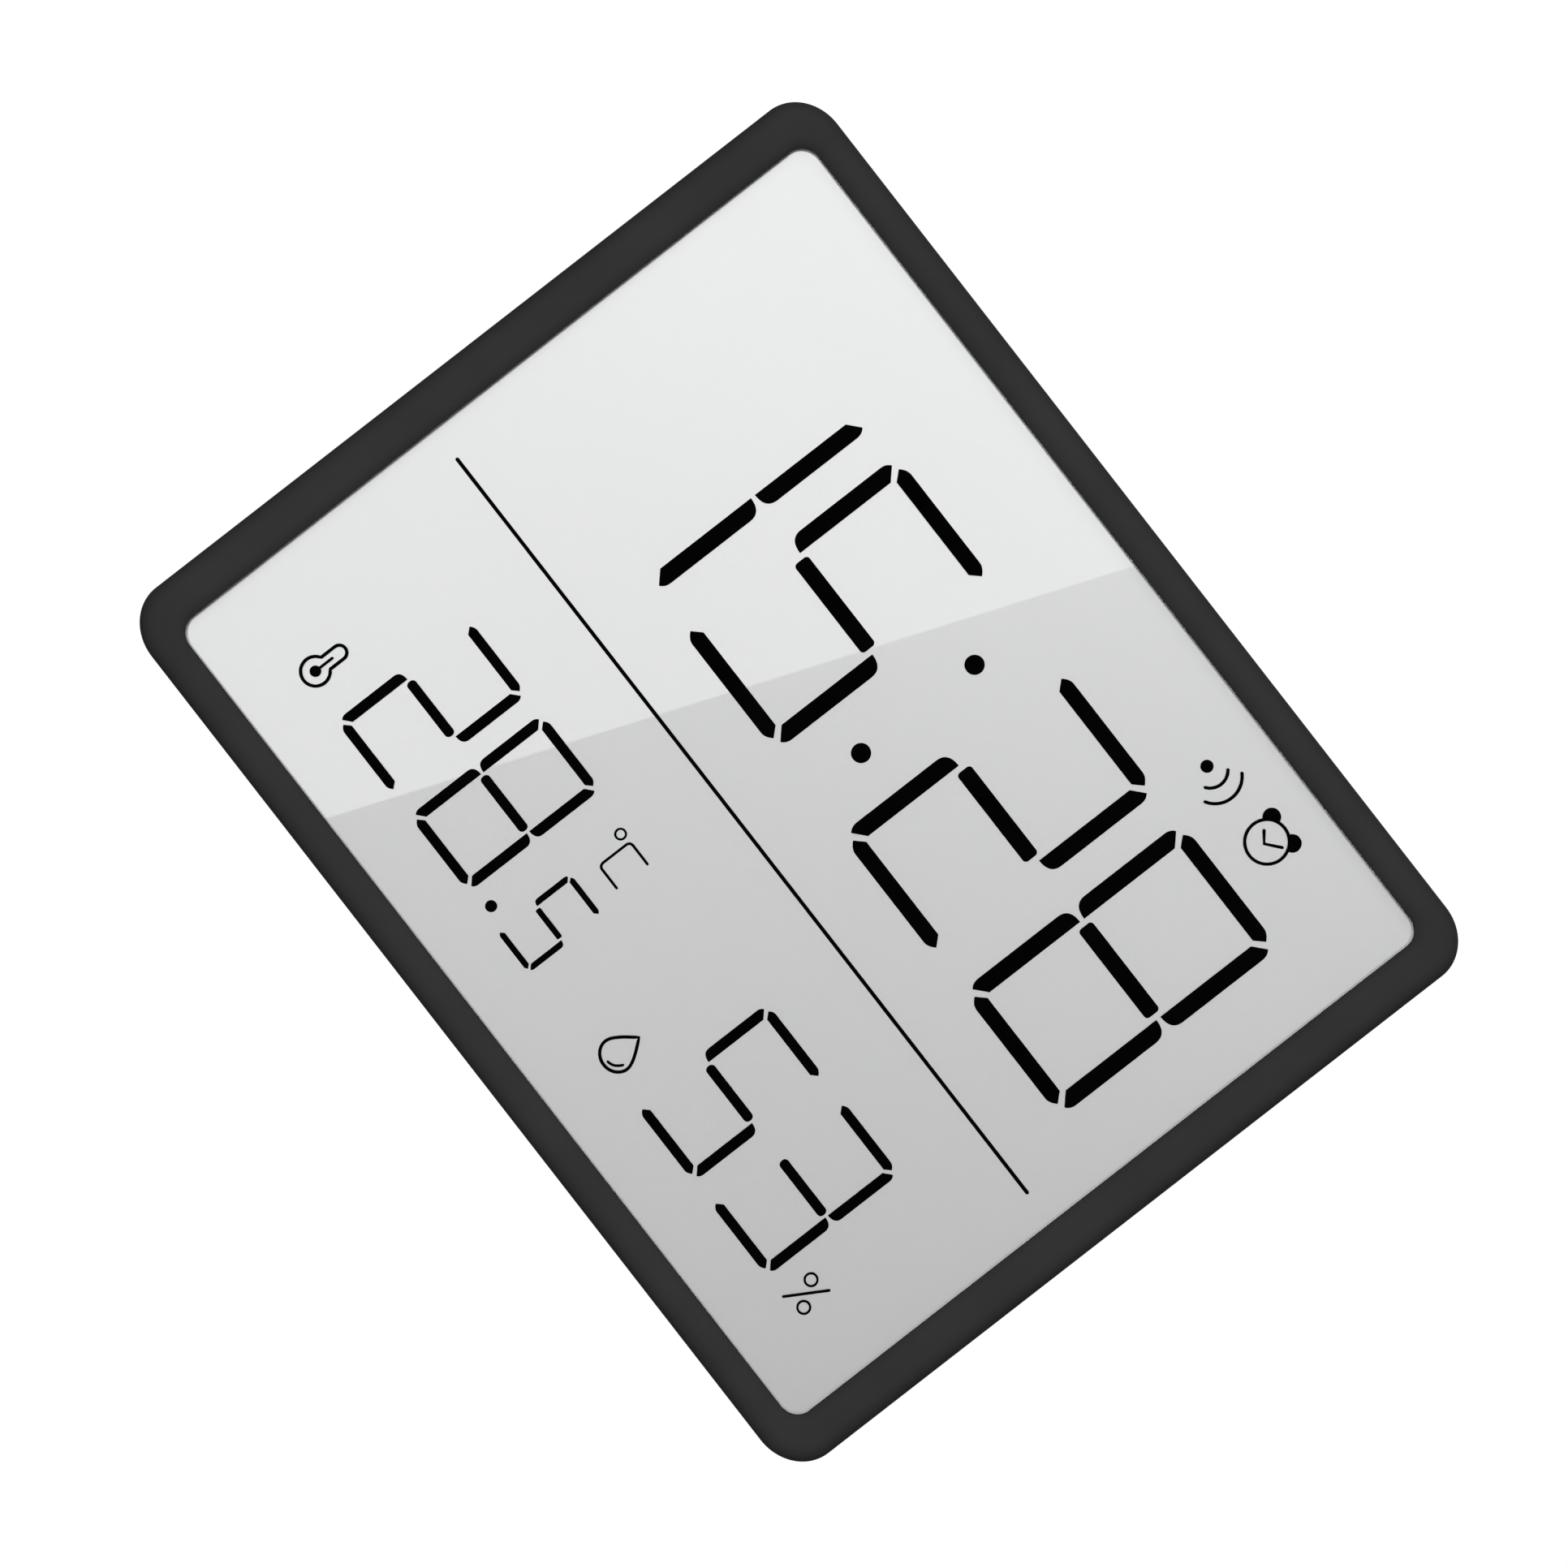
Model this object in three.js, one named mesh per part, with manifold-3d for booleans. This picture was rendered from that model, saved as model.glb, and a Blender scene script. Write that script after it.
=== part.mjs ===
// Digital wall clock with a large LCD, in millimetres.
// X runs right and Z up as seen from the front, and the display faces -Y. The origin is the point
// in the back plane where the hanging screw's shank rests in the keyhole.
// Depths are measured from the frame's front face towards the wall.
import * as THREE from 'three';
import { mergeVertices } from 'three/addons/utils/BufferGeometryUtils.js';
import Module from 'manifold-3d';

// Outline of the housing, seen from the front
const clockWidth = 205;
const clockHeight = 162.4;
const cornerWide = 9.7;
const cornerTall = 8.5;

// Front frame
const frameWall = 2;
const lipThickness = 1.8;
const edgeRound = 3.4;
const windowRound = 1.6;
const windowCornerWide = 4;
const windowCornerTall = 3.6;
const screwChannel = 4.57;
const bottomChannel = 3.38;
const glassTopGap = 1.3;
const glassLap = 2;
const lensLap = 1.6;
const contactLedge = 3.38;

// Display stack, front to back
const faceGap = 0.1;
const tapeThickness = 0.3;
const lensThickness = 1.5;
const glassThickness = 1.1;
const reliefHeight = 0.2;
const segmentPlate = 0.3;
const reflectorThickness = 0.2;
const carrierThickness = 1.6;
const lensCorner = 2.5;
const carrierGap = 0.4;

// Clearances shared by the moulded pieces
const seatGap = 0.3;
const slideGap = 0.3;
const partingGap = 0.3;
const screwGap = 0.1;

// Power
const cellDiameter = 14.5;
const cellLength = 50.5;
const cellNubRadius = 2.75;
const cellNubHeight = 1;
const cellGap = 0.75;
const contactThickness = 0.5;
const contactWidth = 11;
const springLength = 5;
const springTurns = 3.5;
const springBaseRadius = 4.6;
const springTopRadius = 2.6;
const springWire = 0.7;
const bayCentre = -2;
const bayWall = 1.5;

// Rear housing
const rearWall = 2;
const tubReveal = 0.8;
const tubDraft = 1.2;
const tubRound = 3.5;
const tongueWall = 1.2;
const tongueOverlap = 1.3;
const bossInset = 12.5;
const boardStandoff = 2.6;
const boardThickness = 1.6;

// Keyhole, for a screw of 4 mm with a head of up to 8 mm
const hangHeight = 60;
const keySlotWidth = 4.6;
const keyHoleDiameter = 9.2;
const keyDrop = 10.5;
const keyPocketDepth = 5;
const keyPocketWall = 1.4;
const keyPocketWide = 9.6;

// Battery door
const doorThickness = 1.6;
const doorLap = 1.6;
const doorBarrel = 1.35;
const doorPegRadius = 0.65;
const doorPegLength = 1.3;
const doorFrame = 3.5;

// Fold-out stand
const standWidth = 48;
const standTipWidth = 38;
const standThickness = 2.5;
const standBarrel = 1.6;
const standPinRadius = 0.8;
const standOpenAngle = 40;
const standHinge = -29.5;
const standSideGap = 0.6;
const standFloor = 1.6;
const standPinSeat = 3.2;

// Buttons and their switches
const buttonCount = 5;
const buttonPitch = 12;
const buttonInset = 36.5;
const buttonDrop = 39.2;
const buttonRadius = 3.3;
const buttonTravel = 0.6;
const buttonFlange = 1.1;
const buttonDish = 0.6;
const switchSize = 6;
const switchTall = 4;
const plungerRadius = 1.7;
const plungerReach = 1.5;

// Main board and what it carries
const boardDrop = 49.2;
const boardSideInset = 22.5;
const zebraThickness = 2.2;
const zebraLength = 140;
const chipRadius = 6;
const chipHeight = 1.7;
const crystalRadius = 1.05;
const crystalLength = 6.2;
const capacitorRadius = 2.5;
const capacitorHeight = 5.2;
const capacitorRise = 8;
const capacitorClearance = 4.5;
const chipX = 22;
const chipRise = 26;
const crystalReach = 14;
const crystalRise = 14;

// Sounder and climate sensor
const buzzerInset = 54.5;
const buzzerDrop = 35.2;
const buzzerRadius = 13.5;
const buzzerThickness = 0.3;
const sensorInset = 40.5;
const sensorRise = 33.2;
const sensorWide = 16;
const sensorTall = 11;
const sensorBoardThickness = 1;
const ventCount = 6;
const ventPitch = 3.2;
const ventLength = 14;
const ventWidth = 1.6;
const leadRadius = 0.65;
const leadBend = 3;
const leadAway = 4;
const leadClimb = 14;
const leadLift = 4;
const leadLanding = 4.5;
const ribbonWide = 1.6;
const ribbonThick = 0.45;
const ribbonRise = 3.5;
const ribbonLift = 3;
const ribbonRun = 30;
const ribbonLanding = 5;
const solderGap = 0.25;

// Screws: thread radius, head radius, head height, length under the head
const frameScrew = { thread: 0.75, head: 1.8, tall: 1.2, length: 5.4 };
const boardScrew = { thread: 0.75, head: 1.8, tall: 1.2, length: 4.5 };
const housingScrew = { thread: 1.2, head: 2.4, tall: 1.8, length: 7.5 };
const frameScrewInset = 31.2;
const frameBossRadius = 2.1;
const carrierBossRadius = 3.2;
const rearBossRadius = 4.2;
const rearBossFloor = 1.8;
const housingScrewReach = 9.2;

// Ribs, and the lightening windows of the plate behind the display
const carrierRibInset = 30.5;
const carrierRibTall = 2;
const openingWeb = 7;
const openingRowWeb = 11;
const openingCorner = 4;
const openingTopDrop = 25.6;
const openingBottomRise = 12.1;
const ribWide = 1.2;
const stiffenerTall = 2.4;
const stiffenerPitch = 18;
const stiffenerStart = 10.8;
const stiffenerSideInset = 18.5;
const stiffenerEndInset = 15.2;

// Display pattern. Each digit style gives its half sizes, its stroke widths and its middle bar.
const hourStyle = { halfWide: 14.98, halfTall: 25.9, upright: 3.28, bar: 3.07, midRound: 0.8, midDrop: 0.3 };
const readingStyle = { halfWide: 8.95, halfTall: 15.7, upright: 1.96, bar: 1.81, midRound: 0.85, midDrop: 0.2 };
const tenthStyle = { halfWide: 5.08, halfTall: 8.82, upright: 1.2, bar: 1.14, midRound: 0.3, midDrop: 0.11 };
const litSegments = {
  '1': 'bc',
  '2': 'abged',
  '3': 'abgcd',
  '5': 'afgcd',
  '8': 'abcdefg',
};
const hourDrop = 48.6;
const readingRise = 28.45;
const hourDigits = [['1', -59.03], ['5', -21.96], ['2', 27.59], ['8', 64.62]];
const temperatureDigits = [['2', -53.03], ['8', -30.57]];
const humidityDigits = [['5', 38.06], ['3', 60.44]];
const colon = { x: 2.88, above: 13.45, below: 13.47, radius: 1.9 };
const decimalPoint = { x: -16.96, drop: 13.9, radius: 1.16 };
const tenthDigit = { digit: '5', x: -7.72, drop: 7.36 };
const dividerThickness = 0.61;
const dividerMargin = 6.9;
const dividerDrop = 13.5;
const degreeMark = { x: -12.7, rise: 13.32, radius: 1, stroke: 0.44 };
const unitMark = { left: -10.48, right: -5.19, top: 13.85, bottom: 6.54, corner: 0.9, stroke: 0.53 };
const alarmIcon = { x: 62.57, drop: 12.3, dial: 4.5, stroke: 0.64, bell: 1.75, bellX: 3.13, bellZ: 3.56 };
const soundIcon = { x: 44.58, drop: 12.5, dot: 1.25, stroke: 0.68 };
const thermometer = { x: -71.74, drop: 12.98, bulb: 2.78, tube: 1.4, top: 7.08, stroke: 0.67, dot: 1.09 };
const dropIcon = { x: 19.43, drop: 12.67, halfWide: 3.33, tip: 5.5, base: 2.85, stroke: 0.64 };
const percentMark = { x: 76.53, drop: 11.7, ring: 1.2, ringStroke: 0.5, stroke: 0.62 };

// Steps of the round forms
const cornerSteps = 8;
const roundSteps = 5;
const windowSteps = 3;
const bendSteps = 3;
const postSides = 16;
const smallSides = 10;
const springStepsPerTurn = 8;
const springSides = 5;

// Places worked out from the sizes above
const halfWide = clockWidth / 2;
const halfTall = clockHeight / 2;
const windowTop = halfTall - frameWall - glassTopGap - contactLedge;
const windowBottom = -halfTall + frameWall + bottomChannel + lensLap;
const windowRise = (windowTop + windowBottom) / 2;
const windowHalfTall = (windowTop - windowBottom) / 2;
const windowHalfWide = halfWide - frameWall - screwChannel - glassLap;
const glassHalfWide = windowHalfWide + glassLap;
const glassTop = halfTall - frameWall - glassTopGap;
const glassBottom = windowBottom - lensLap;
const frameScrewHeight = halfTall - frameScrewInset;
const boardBottom = halfTall - boardDrop;
const buttonFirst = -halfWide + buttonInset;
const buttonHeight = halfTall - buttonDrop;
const buttonLast = buttonFirst + (buttonCount - 1) * buttonPitch;
const capacitorX = buttonLast + switchSize / 2 + capacitorRadius + capacitorClearance;
const buzzerX = halfWide - buzzerInset;
const buzzerZ = halfTall - buzzerDrop;
const sensorX = halfWide - sensorInset;
const sensorZ = -halfTall + sensorRise;

const tapeFront = lipThickness + faceGap;
const lensFront = tapeFront + tapeThickness + faceGap;
const frontGlassFront = lensFront + lensThickness + faceGap;
const segmentFront = frontGlassFront + glassThickness + faceGap;
const segmentBack = segmentFront + reliefHeight + segmentPlate;
const rearGlassFront = segmentBack + faceGap;
const reflectorFront = rearGlassFront + glassThickness + faceGap;
const carrierFront = reflectorFront + reflectorThickness + faceGap;
const carrierBack = carrierFront + carrierThickness;
const boardFront = carrierBack + boardStandoff + faceGap;
const boardBack = boardFront + boardThickness;

const bayFloor = carrierBack + seatGap + seatGap + bayWall;
const cellFront = bayFloor + seatGap;
const cellAxis = cellFront + cellDiameter / 2;
const doorInner = cellFront + cellDiameter + seatGap;
const clockDepth = doorInner + doorThickness + seatGap;
const rearInner = clockDepth - rearWall;
const tongueFront = carrierBack + frameScrew.tall + screwGap + seatGap;
const frameDepth = tongueFront + tongueOverlap;
const tubFront = frameDepth + partingGap;

const bayHalfWide = (cellLength + springLength + 2 * contactThickness + 4 * seatGap) / 2;
const cellPitch = cellDiameter + cellGap;
const bayHalfTall = cellPitch / 2 + cellDiameter / 2 + cellGap;
const doorHalfWide = bayHalfWide + doorLap;
const bayFrameHalf = doorHalfWide + slideGap + doorPegLength + 1.2;
const doorBottom = bayCentre - bayHalfTall - doorLap;
const doorHinge = bayCentre + bayHalfTall + bayWall + doorBarrel + slideGap;
const doorAxisDepth = doorInner + doorThickness - doorBarrel;
const doorLedge = doorInner - seatGap / 2;

const standAxisDepth = clockDepth - seatGap - standBarrel;
const standOuter = clockDepth - 2 * seatGap;
const standRecessFloor = standAxisDepth - standBarrel - seatGap;
const standHeelFront = standOuter - 1.2;
const standHeel = heelLength();
const standTip = -halfTall + tubReveal + tubDraft + tubRound + 0.2;
const standRecessTop = standHinge + Math.hypot(standHeel, standBarrel) + slideGap;

// The heel meets the recess floor when the leg is fully open
function heelLength() {
  const angle = THREE.MathUtils.degToRad(standOpenAngle);
  const drop = standAxisDepth - standRecessFloor - faceGap / 2;
  return (drop + (standHeelFront - standAxisDepth) * Math.cos(angle)) / Math.sin(angle);
}

const boardTop = halfTall - tubReveal - rearWall - tongueWall + 0.2;
const boardHalfWide = halfWide - boardSideInset;
const zebraBottom = windowTop + faceGap + seatGap;
const switchBack = boardBack + faceGap + switchTall;
const plungerBack = switchBack + plungerReach;
const headSeat = clockDepth - housingScrewReach + rearBossFloor;
const rearBossFront = clockDepth - housingScrewReach;
const carrierBossBack = rearBossFront - seatGap;

const plastic = (color, roughness) => new THREE.MeshStandardMaterial({ color, roughness, metalness: 0 });
const metal = (color, roughness) => new THREE.MeshStandardMaterial({ color, roughness, metalness: 1 });
const frameGrey = plastic(0x323332, 0.62);
const rearGrey = plastic(0x2f302f, 0.7);
const buttonGrey = plastic(0x3a3b3a, 0.55);
const tapeBlack = plastic(0x141414, 0.8);
const clearAcrylic = plastic(0xe9eeee, 0.05);
const displayGlass = plastic(0xd9dedc, 0.08);
const segmentBlack = plastic(0x0a0a0a, 0.5);
const filmGrey = plastic(0xc9cbca, 0.45);
const carrierWhite = plastic(0xe6e6e0, 0.6);
const boardGreen = plastic(0x1d5a36, 0.5);
const epoxyBlack = plastic(0x101010, 0.35);
const rubberBlack = plastic(0x1b1b1b, 0.9);
const sleeveBlue = plastic(0x2c4f7c, 0.35);
const wireRed = plastic(0xb02020, 0.5);
const wireBlack = plastic(0x161616, 0.5);
const ribbonGrey = plastic(0x9a9c9c, 0.6);
const nickel = metal(0xc8c8c4, 0.3);
const steel = metal(0xb4b6b8, 0.35);
const brass = metal(0xc9a24b, 0.35);

const wasm = await Module();
wasm.setup();

// Y of a plane at a depth behind the frame's front face
const at = (depth) => depth - clockDepth;

// A closed solid from a geometry, with its faces turned outwards
function solidOf(geometry) {
  const bare = geometry.clone();
  bare.deleteAttribute('normal');
  bare.deleteAttribute('uv');
  const merged = mergeVertices(bare, 1e-4);
  const positions = merged.getAttribute('position').array;
  const corners = [];
  let volume = 0;
  const a = new THREE.Vector3();
  const b = new THREE.Vector3();
  const c = new THREE.Vector3();
  for (let i = 0; i < merged.index.count; i += 3) {
    const [p, q, r] = merged.index.array.slice(i, i + 3);
    if (p !== q && q !== r && r !== p) {
      corners.push(p, q, r);
      a.fromArray(positions, p * 3);
      b.fromArray(positions, q * 3);
      c.fromArray(positions, r * 3);
      volume += a.dot(b.cross(c));
    }
  }
  if (volume < 0) corners.reverse();
  return new wasm.Manifold(
    new wasm.Mesh({
      numProp: 3,
      vertProperties: new Float32Array(positions),
      triVerts: new Uint32Array(corners),
    }),
  );
}

function join(...solids) {
  return solids.reduce((whole, next) => whole.add(next));
}

function cut(whole, ...tools) {
  return tools.reduce((rest, tool) => rest.subtract(tool), whole);
}

function pieceOf(name, solid, material) {
  const data = solid.getMesh();
  const geometry = new THREE.BufferGeometry();
  geometry.setAttribute('position', new THREE.BufferAttribute(data.vertProperties, 3));
  geometry.setIndex(new THREE.BufferAttribute(data.triVerts, 1));
  geometry.computeVertexNormals();
  const mesh = new THREE.Mesh(geometry, material);
  mesh.name = name;
  return mesh;
}

function placed(mesh, x, depth, z) {
  mesh.position.set(x, depth === null ? 0 : at(depth), z);
  return mesh;
}

// A rounded rectangle's points, counter-clockwise as seen from the front
function roundedPoints(wide, tall, cornerX, cornerZ, centreX, centreZ, steps) {
  const points = [];
  const signs = [[1, 1], [-1, 1], [-1, -1], [1, -1]];
  signs.forEach(([signX, signZ], quarter) => {
    for (let step = 0; step <= steps; step += 1) {
      const angle = ((quarter + step / steps) * Math.PI) / 2;
      points.push(
        new THREE.Vector2(
          centreX + signX * (wide - cornerX) + cornerX * Math.cos(angle),
          centreZ + signZ * (tall - cornerZ) + cornerZ * Math.sin(angle),
        ),
      );
    }
  });
  return points;
}

function outlinePoints(inset) {
  return roundedPoints(
    halfWide - inset,
    halfTall - inset,
    cornerWide - inset,
    cornerTall - inset,
    0,
    0,
    cornerSteps,
  );
}

function windowPoints(outset) {
  return roundedPoints(
    windowHalfWide + outset,
    windowHalfTall + outset,
    windowCornerWide + outset,
    windowCornerTall + outset,
    0,
    windowRise,
    cornerSteps,
  );
}

// A skin through rings of points, each ring a list of points and a depth. A closed run joins the
// last ring to the first, and any other has flat ends.
function loft(rings, closed = false) {
  const count = rings[0].points.length;
  const positions = rings.flatMap(({ points, depth }) => points.flatMap((p) => [p.x, at(depth), p.y]));
  const faces = [];
  const bands = closed ? rings.length : rings.length - 1;
  for (let band = 0; band < bands; band += 1) {
    const here = band * count;
    const next = ((band + 1) % rings.length) * count;
    for (let i = 0; i < count; i += 1) {
      const j = (i + 1) % count;
      faces.push(here + i, next + i, here + j, here + j, next + i, next + j);
    }
  }
  if (!closed) {
    const end = (rings.length - 1) * count;
    for (let i = 1; i < count - 1; i += 1) {
      faces.push(0, i, i + 1, end, end + i + 1, end + i);
    }
  }
  const geometry = new THREE.BufferGeometry();
  geometry.setAttribute('position', new THREE.Float32BufferAttribute(positions, 3));
  geometry.setIndex(faces);
  return solidOf(geometry);
}

// An outline in X and Z run from one depth to another, with holes
function plate(points, front, back, holes = []) {
  const shape = new THREE.Shape(points);
  shape.holes = holes.map((hole) => new THREE.Path(hole));
  const geometry = new THREE.ExtrudeGeometry(shape, { depth: back - front, bevelEnabled: false, steps: 1 });
  geometry.rotateX(Math.PI / 2);
  geometry.translate(0, at(back), 0);
  return solidOf(geometry);
}

function panel(wide, tall, corner, centreX, centreZ, front, back, steps = 3) {
  return plate(roundedPoints(wide, tall, corner, corner, centreX, centreZ, steps), front, back);
}

function block(left, right, front, back, bottom, top) {
  const geometry = new THREE.BoxGeometry(right - left, back - front, top - bottom);
  geometry.translate((left + right) / 2, at((front + back) / 2), (bottom + top) / 2);
  return solidOf(geometry);
}

// A round bar along the depth
function post(radius, front, back, x, z, sides = postSides) {
  const geometry = new THREE.CylinderGeometry(radius, radius, back - front, sides);
  geometry.translate(x, at((front + back) / 2), z);
  return solidOf(geometry);
}

// A round bar along the width
function bar(radius, left, right, depth, z, sides = postSides) {
  const geometry = new THREE.CylinderGeometry(radius, radius, right - left, sides);
  geometry.rotateZ(Math.PI / 2);
  geometry.translate((left + right) / 2, at(depth), z);
  return solidOf(geometry);
}

// A turned form about an axis along the depth. The profile lists radius and Y.
function turned(profile, sides = postSides) {
  return solidOf(new THREE.LatheGeometry(profile.map(([r, y]) => new THREE.Vector2(r, y)), sides));
}

function circlePoints(radius, sides, stretch = 1) {
  return Array.from({ length: sides }, (_, i) => {
    const angle = (i / sides) * 2 * Math.PI;
    return new THREE.Vector2(radius * Math.cos(angle), radius * stretch * Math.sin(angle));
  });
}

function swept(curve, section, steps) {
  return solidOf(
    new THREE.ExtrudeGeometry(new THREE.Shape(section), { steps, bevelEnabled: false, extrudePath: curve }),
  );
}

// Points of a curve bent towards a corner, without its two ends
function bend(from, corner, to) {
  const curve = new THREE.QuadraticBezierCurve(from, corner, to);
  return curve.getPoints(bendSteps).slice(1, -1);
}

const point = (x, z) => new THREE.Vector2(x, z);
const mirrored = (points, signX, signZ) => points.map((p) => point(p.x * signX, p.y * signZ));
const moved = (points, x, z) => points.map((p) => point(p.x + x, p.y + z));

// The top left upright of a digit: mitred at the corner and rounded towards the middle
function uprightPoints({ halfWide: side, halfTall: top, upright, bar: stroke }) {
  const inner = -side + upright;
  const high = top - stroke - 0.27 * upright;
  const low = 0.14 * upright;
  const tip = point(-side + 0.29 * upright, high + 0.64 * upright);
  const shoulder = point(-side, high);
  const waist = point(-side, low + 0.82 * upright);
  const foot = point(inner, low);
  return [
    foot,
    point(inner, high),
    tip,
    ...bend(tip, point(-side, tip.y - 0.2 * upright), shoulder),
    shoulder,
    waist,
    ...bend(waist, point(-side, low), foot),
  ];
}

// The top bar of a digit, with both ends mitred below and rounded above
function barPoints({ halfWide: side, halfTall: top, upright, bar: stroke }) {
  const inner = point(-side + 1.2 * upright, top - stroke);
  const tip = point(inner.x - 0.5 * stroke, top - 0.43 * stroke);
  const crown = point(tip.x + 0.83 * stroke, top);
  const left = [inner, tip, ...bend(tip, point(tip.x + 0.22 * stroke, top), crown), crown];
  return [...left, ...mirrored(left, -1, 1).reverse()];
}

function middlePoints({ halfWide: side, upright, bar: stroke, midRound, midDrop }) {
  return roundedPoints(side - 1.37 * upright, stroke / 2, midRound, midRound, 0, -midDrop, bendSteps);
}

function digitOutlines(style, digit, x, z) {
  const upright = uprightPoints(style);
  const top = barPoints(style);
  const all = {
    a: top,
    b: mirrored(upright, -1, 1),
    c: mirrored(upright, -1, -1),
    d: mirrored(top, 1, -1),
    e: mirrored(upright, 1, -1),
    f: upright,
    g: middlePoints(style),
  };
  return [...litSegments[digit]].map((name) => moved(all[name], x, z));
}

function normalsAlong(path, closed) {
  const count = path.length;
  return path.map((p, i) => {
    const before = closed ? path[(i + count - 1) % count] : path[Math.max(i - 1, 0)];
    const after = closed ? path[(i + 1) % count] : path[Math.min(i + 1, count - 1)];
    const along = after.clone().sub(before).normalize();
    return point(-along.y, along.x);
  });
}

// A line of even width with round ends
function strokePoints(path, width) {
  const normals = normalsAlong(path, false);
  const half = width / 2;
  const side = (sign) => path.map((p, i) => p.clone().addScaledVector(normals[i], sign * half));
  const cap = (centre, normal) =>
    [1, 2, 3].map((step) => {
      const turned90 = point(normal.y, -normal.x);
      const angle = (step * Math.PI) / 4;
      return centre
        .clone()
        .addScaledVector(normal, half * Math.cos(angle))
        .addScaledVector(turned90, half * Math.sin(angle));
    });
  const last = path.length - 1;
  return [
    ...side(1),
    ...cap(path[last], normals[last]),
    ...side(-1).reverse(),
    ...cap(path[0], normals[0].clone().negate()),
  ];
}

function arcPath(centreX, centreZ, radius, from, to, steps) {
  return Array.from({ length: steps + 1 }, (_, i) => {
    const angle = THREE.MathUtils.degToRad(from + ((to - from) * i) / steps);
    return point(centreX + radius * Math.cos(angle), centreZ + radius * Math.sin(angle));
  });
}

// A closed line of even width, as an outline and its hole
function loopRelief(path, width, relief) {
  const normals = normalsAlong(path, true);
  const offset = (sign) => path.map((p, i) => p.clone().addScaledVector(normals[i], (sign * width) / 2));
  return relief(offset(-1), [offset(1)]);
}

// The lit pattern stands proud of a thin plate, as the liquid crystal layer between the glasses
function segmentLayer() {
  const plateFront = segmentFront + reliefHeight;
  const relief = (points, holes = []) => plate(points, segmentFront, plateFront + segmentPlate / 2, holes);
  const dot = (x, z, radius, sides = postSides) => relief(moved(circlePoints(radius, sides), x, z));
  const ring = (x, z, radius, stroke) =>
    relief(moved(circlePoints(radius + stroke / 2, postSides), x, z), [
      moved(circlePoints(radius - stroke / 2, postSides), x, z),
    ]);
  const hourZ = windowTop - hourDrop;
  const readingZ = windowBottom + readingRise;
  const digits = [
    ...hourDigits.flatMap(([digit, x]) => digitOutlines(hourStyle, digit, x, hourZ)),
    ...[...temperatureDigits, ...humidityDigits].flatMap(([digit, x]) =>
      digitOutlines(readingStyle, digit, x, readingZ),
    ),
    ...digitOutlines(tenthStyle, tenthDigit.digit, tenthDigit.x, readingZ - tenthDigit.drop),
  ];
  const dividerHalf = windowHalfWide - dividerMargin;
  const divider = [point(-dividerHalf, windowRise - dividerDrop), point(dividerHalf, windowRise - dividerDrop)];
  const layer = plate(
    roundedPoints(glassHalfWide, (windowTop + faceGap - glassBottom) / 2, lensCorner, lensCorner, 0,
      (windowTop + faceGap + glassBottom) / 2, bendSteps),
    plateFront,
    segmentBack,
  );
  return join(
    layer,
    ...digits.map((points) => relief(points)),
    dot(colon.x, hourZ + colon.above, colon.radius),
    dot(colon.x, hourZ - colon.below, colon.radius),
    dot(decimalPoint.x, readingZ - decimalPoint.drop, decimalPoint.radius),
    relief(strokePoints(divider, dividerThickness)),
    ring(degreeMark.x, readingZ + degreeMark.rise, degreeMark.radius, degreeMark.stroke),
    relief(unitOutline(readingZ)),
    alarmRelief(windowTop - alarmIcon.drop),
    ...soundOutlines(windowTop - soundIcon.drop).map((points) => relief(points)),
    dot(soundIcon.x, windowTop - soundIcon.drop, soundIcon.dot),
    ...thermometerReliefs(readingZ - thermometer.drop, relief, dot),
    ...dropReliefs(readingZ - dropIcon.drop, relief),
    ...percentReliefs(readingZ - percentMark.drop, relief, ring),
  );
}

// The letter of the temperature scale, as a bracket open to the right
function unitOutline(readingZ) {
  const { left, right, corner, stroke } = unitMark;
  const top = readingZ + unitMark.top;
  const bottom = readingZ + unitMark.bottom;
  const path = [
    point(right, top),
    ...arcPath(left + corner, top - corner, corner, 90, 180, bendSteps),
    ...arcPath(left + corner, bottom + corner, corner, 180, 270, bendSteps),
    point(right, bottom),
  ];
  return strokePoints(path, stroke);
}

// A dial with two bells that its open face cuts off
function alarmRelief(z) {
  const { x, dial, stroke, bell, bellX, bellZ } = alarmIcon;
  const back = segmentFront + reliefHeight + segmentPlate / 2;
  const face = cut(
    join(
      post(dial, segmentFront, back, x, z, 24),
      post(bell, segmentFront, back, x - bellX, z + bellZ),
      post(bell, segmentFront, back, x + bellX, z + bellZ),
    ),
    post(dial - stroke, segmentFront - 1, segmentFront + reliefHeight, x, z, 24),
  );
  const hands = [point(x - 2.03, z + 0.86), point(x - 0.04, z - 0.65), point(x + 2.58, z + 1.57)];
  return join(face, plate(strokePoints(hands, stroke), segmentFront, back));
}

function soundOutlines(z) {
  const { x, stroke } = soundIcon;
  return [
    strokePoints(arcPath(x + 0.9, z, 3.37, -53, 53, 8), stroke),
    strokePoints(arcPath(x + 2.42, z, 5.09, -59, 59, 10), stroke),
  ];
}

function thermometerReliefs(z, relief, dot) {
  const { x, bulb, tube, top, stroke } = thermometer;
  const neck = THREE.MathUtils.radToDeg(Math.acos(tube / bulb));
  const outline = [
    ...arcPath(x, z + top - tube, tube, 0, 180, 6),
    ...arcPath(x, z, bulb, 180 - neck, 360 + neck, 16),
  ];
  return [
    loopRelief(outline, stroke, relief),
    dot(x, z, thermometer.dot),
    relief(strokePoints([point(x, z), point(x, z + 4)], 0.53)),
  ];
}

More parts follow.
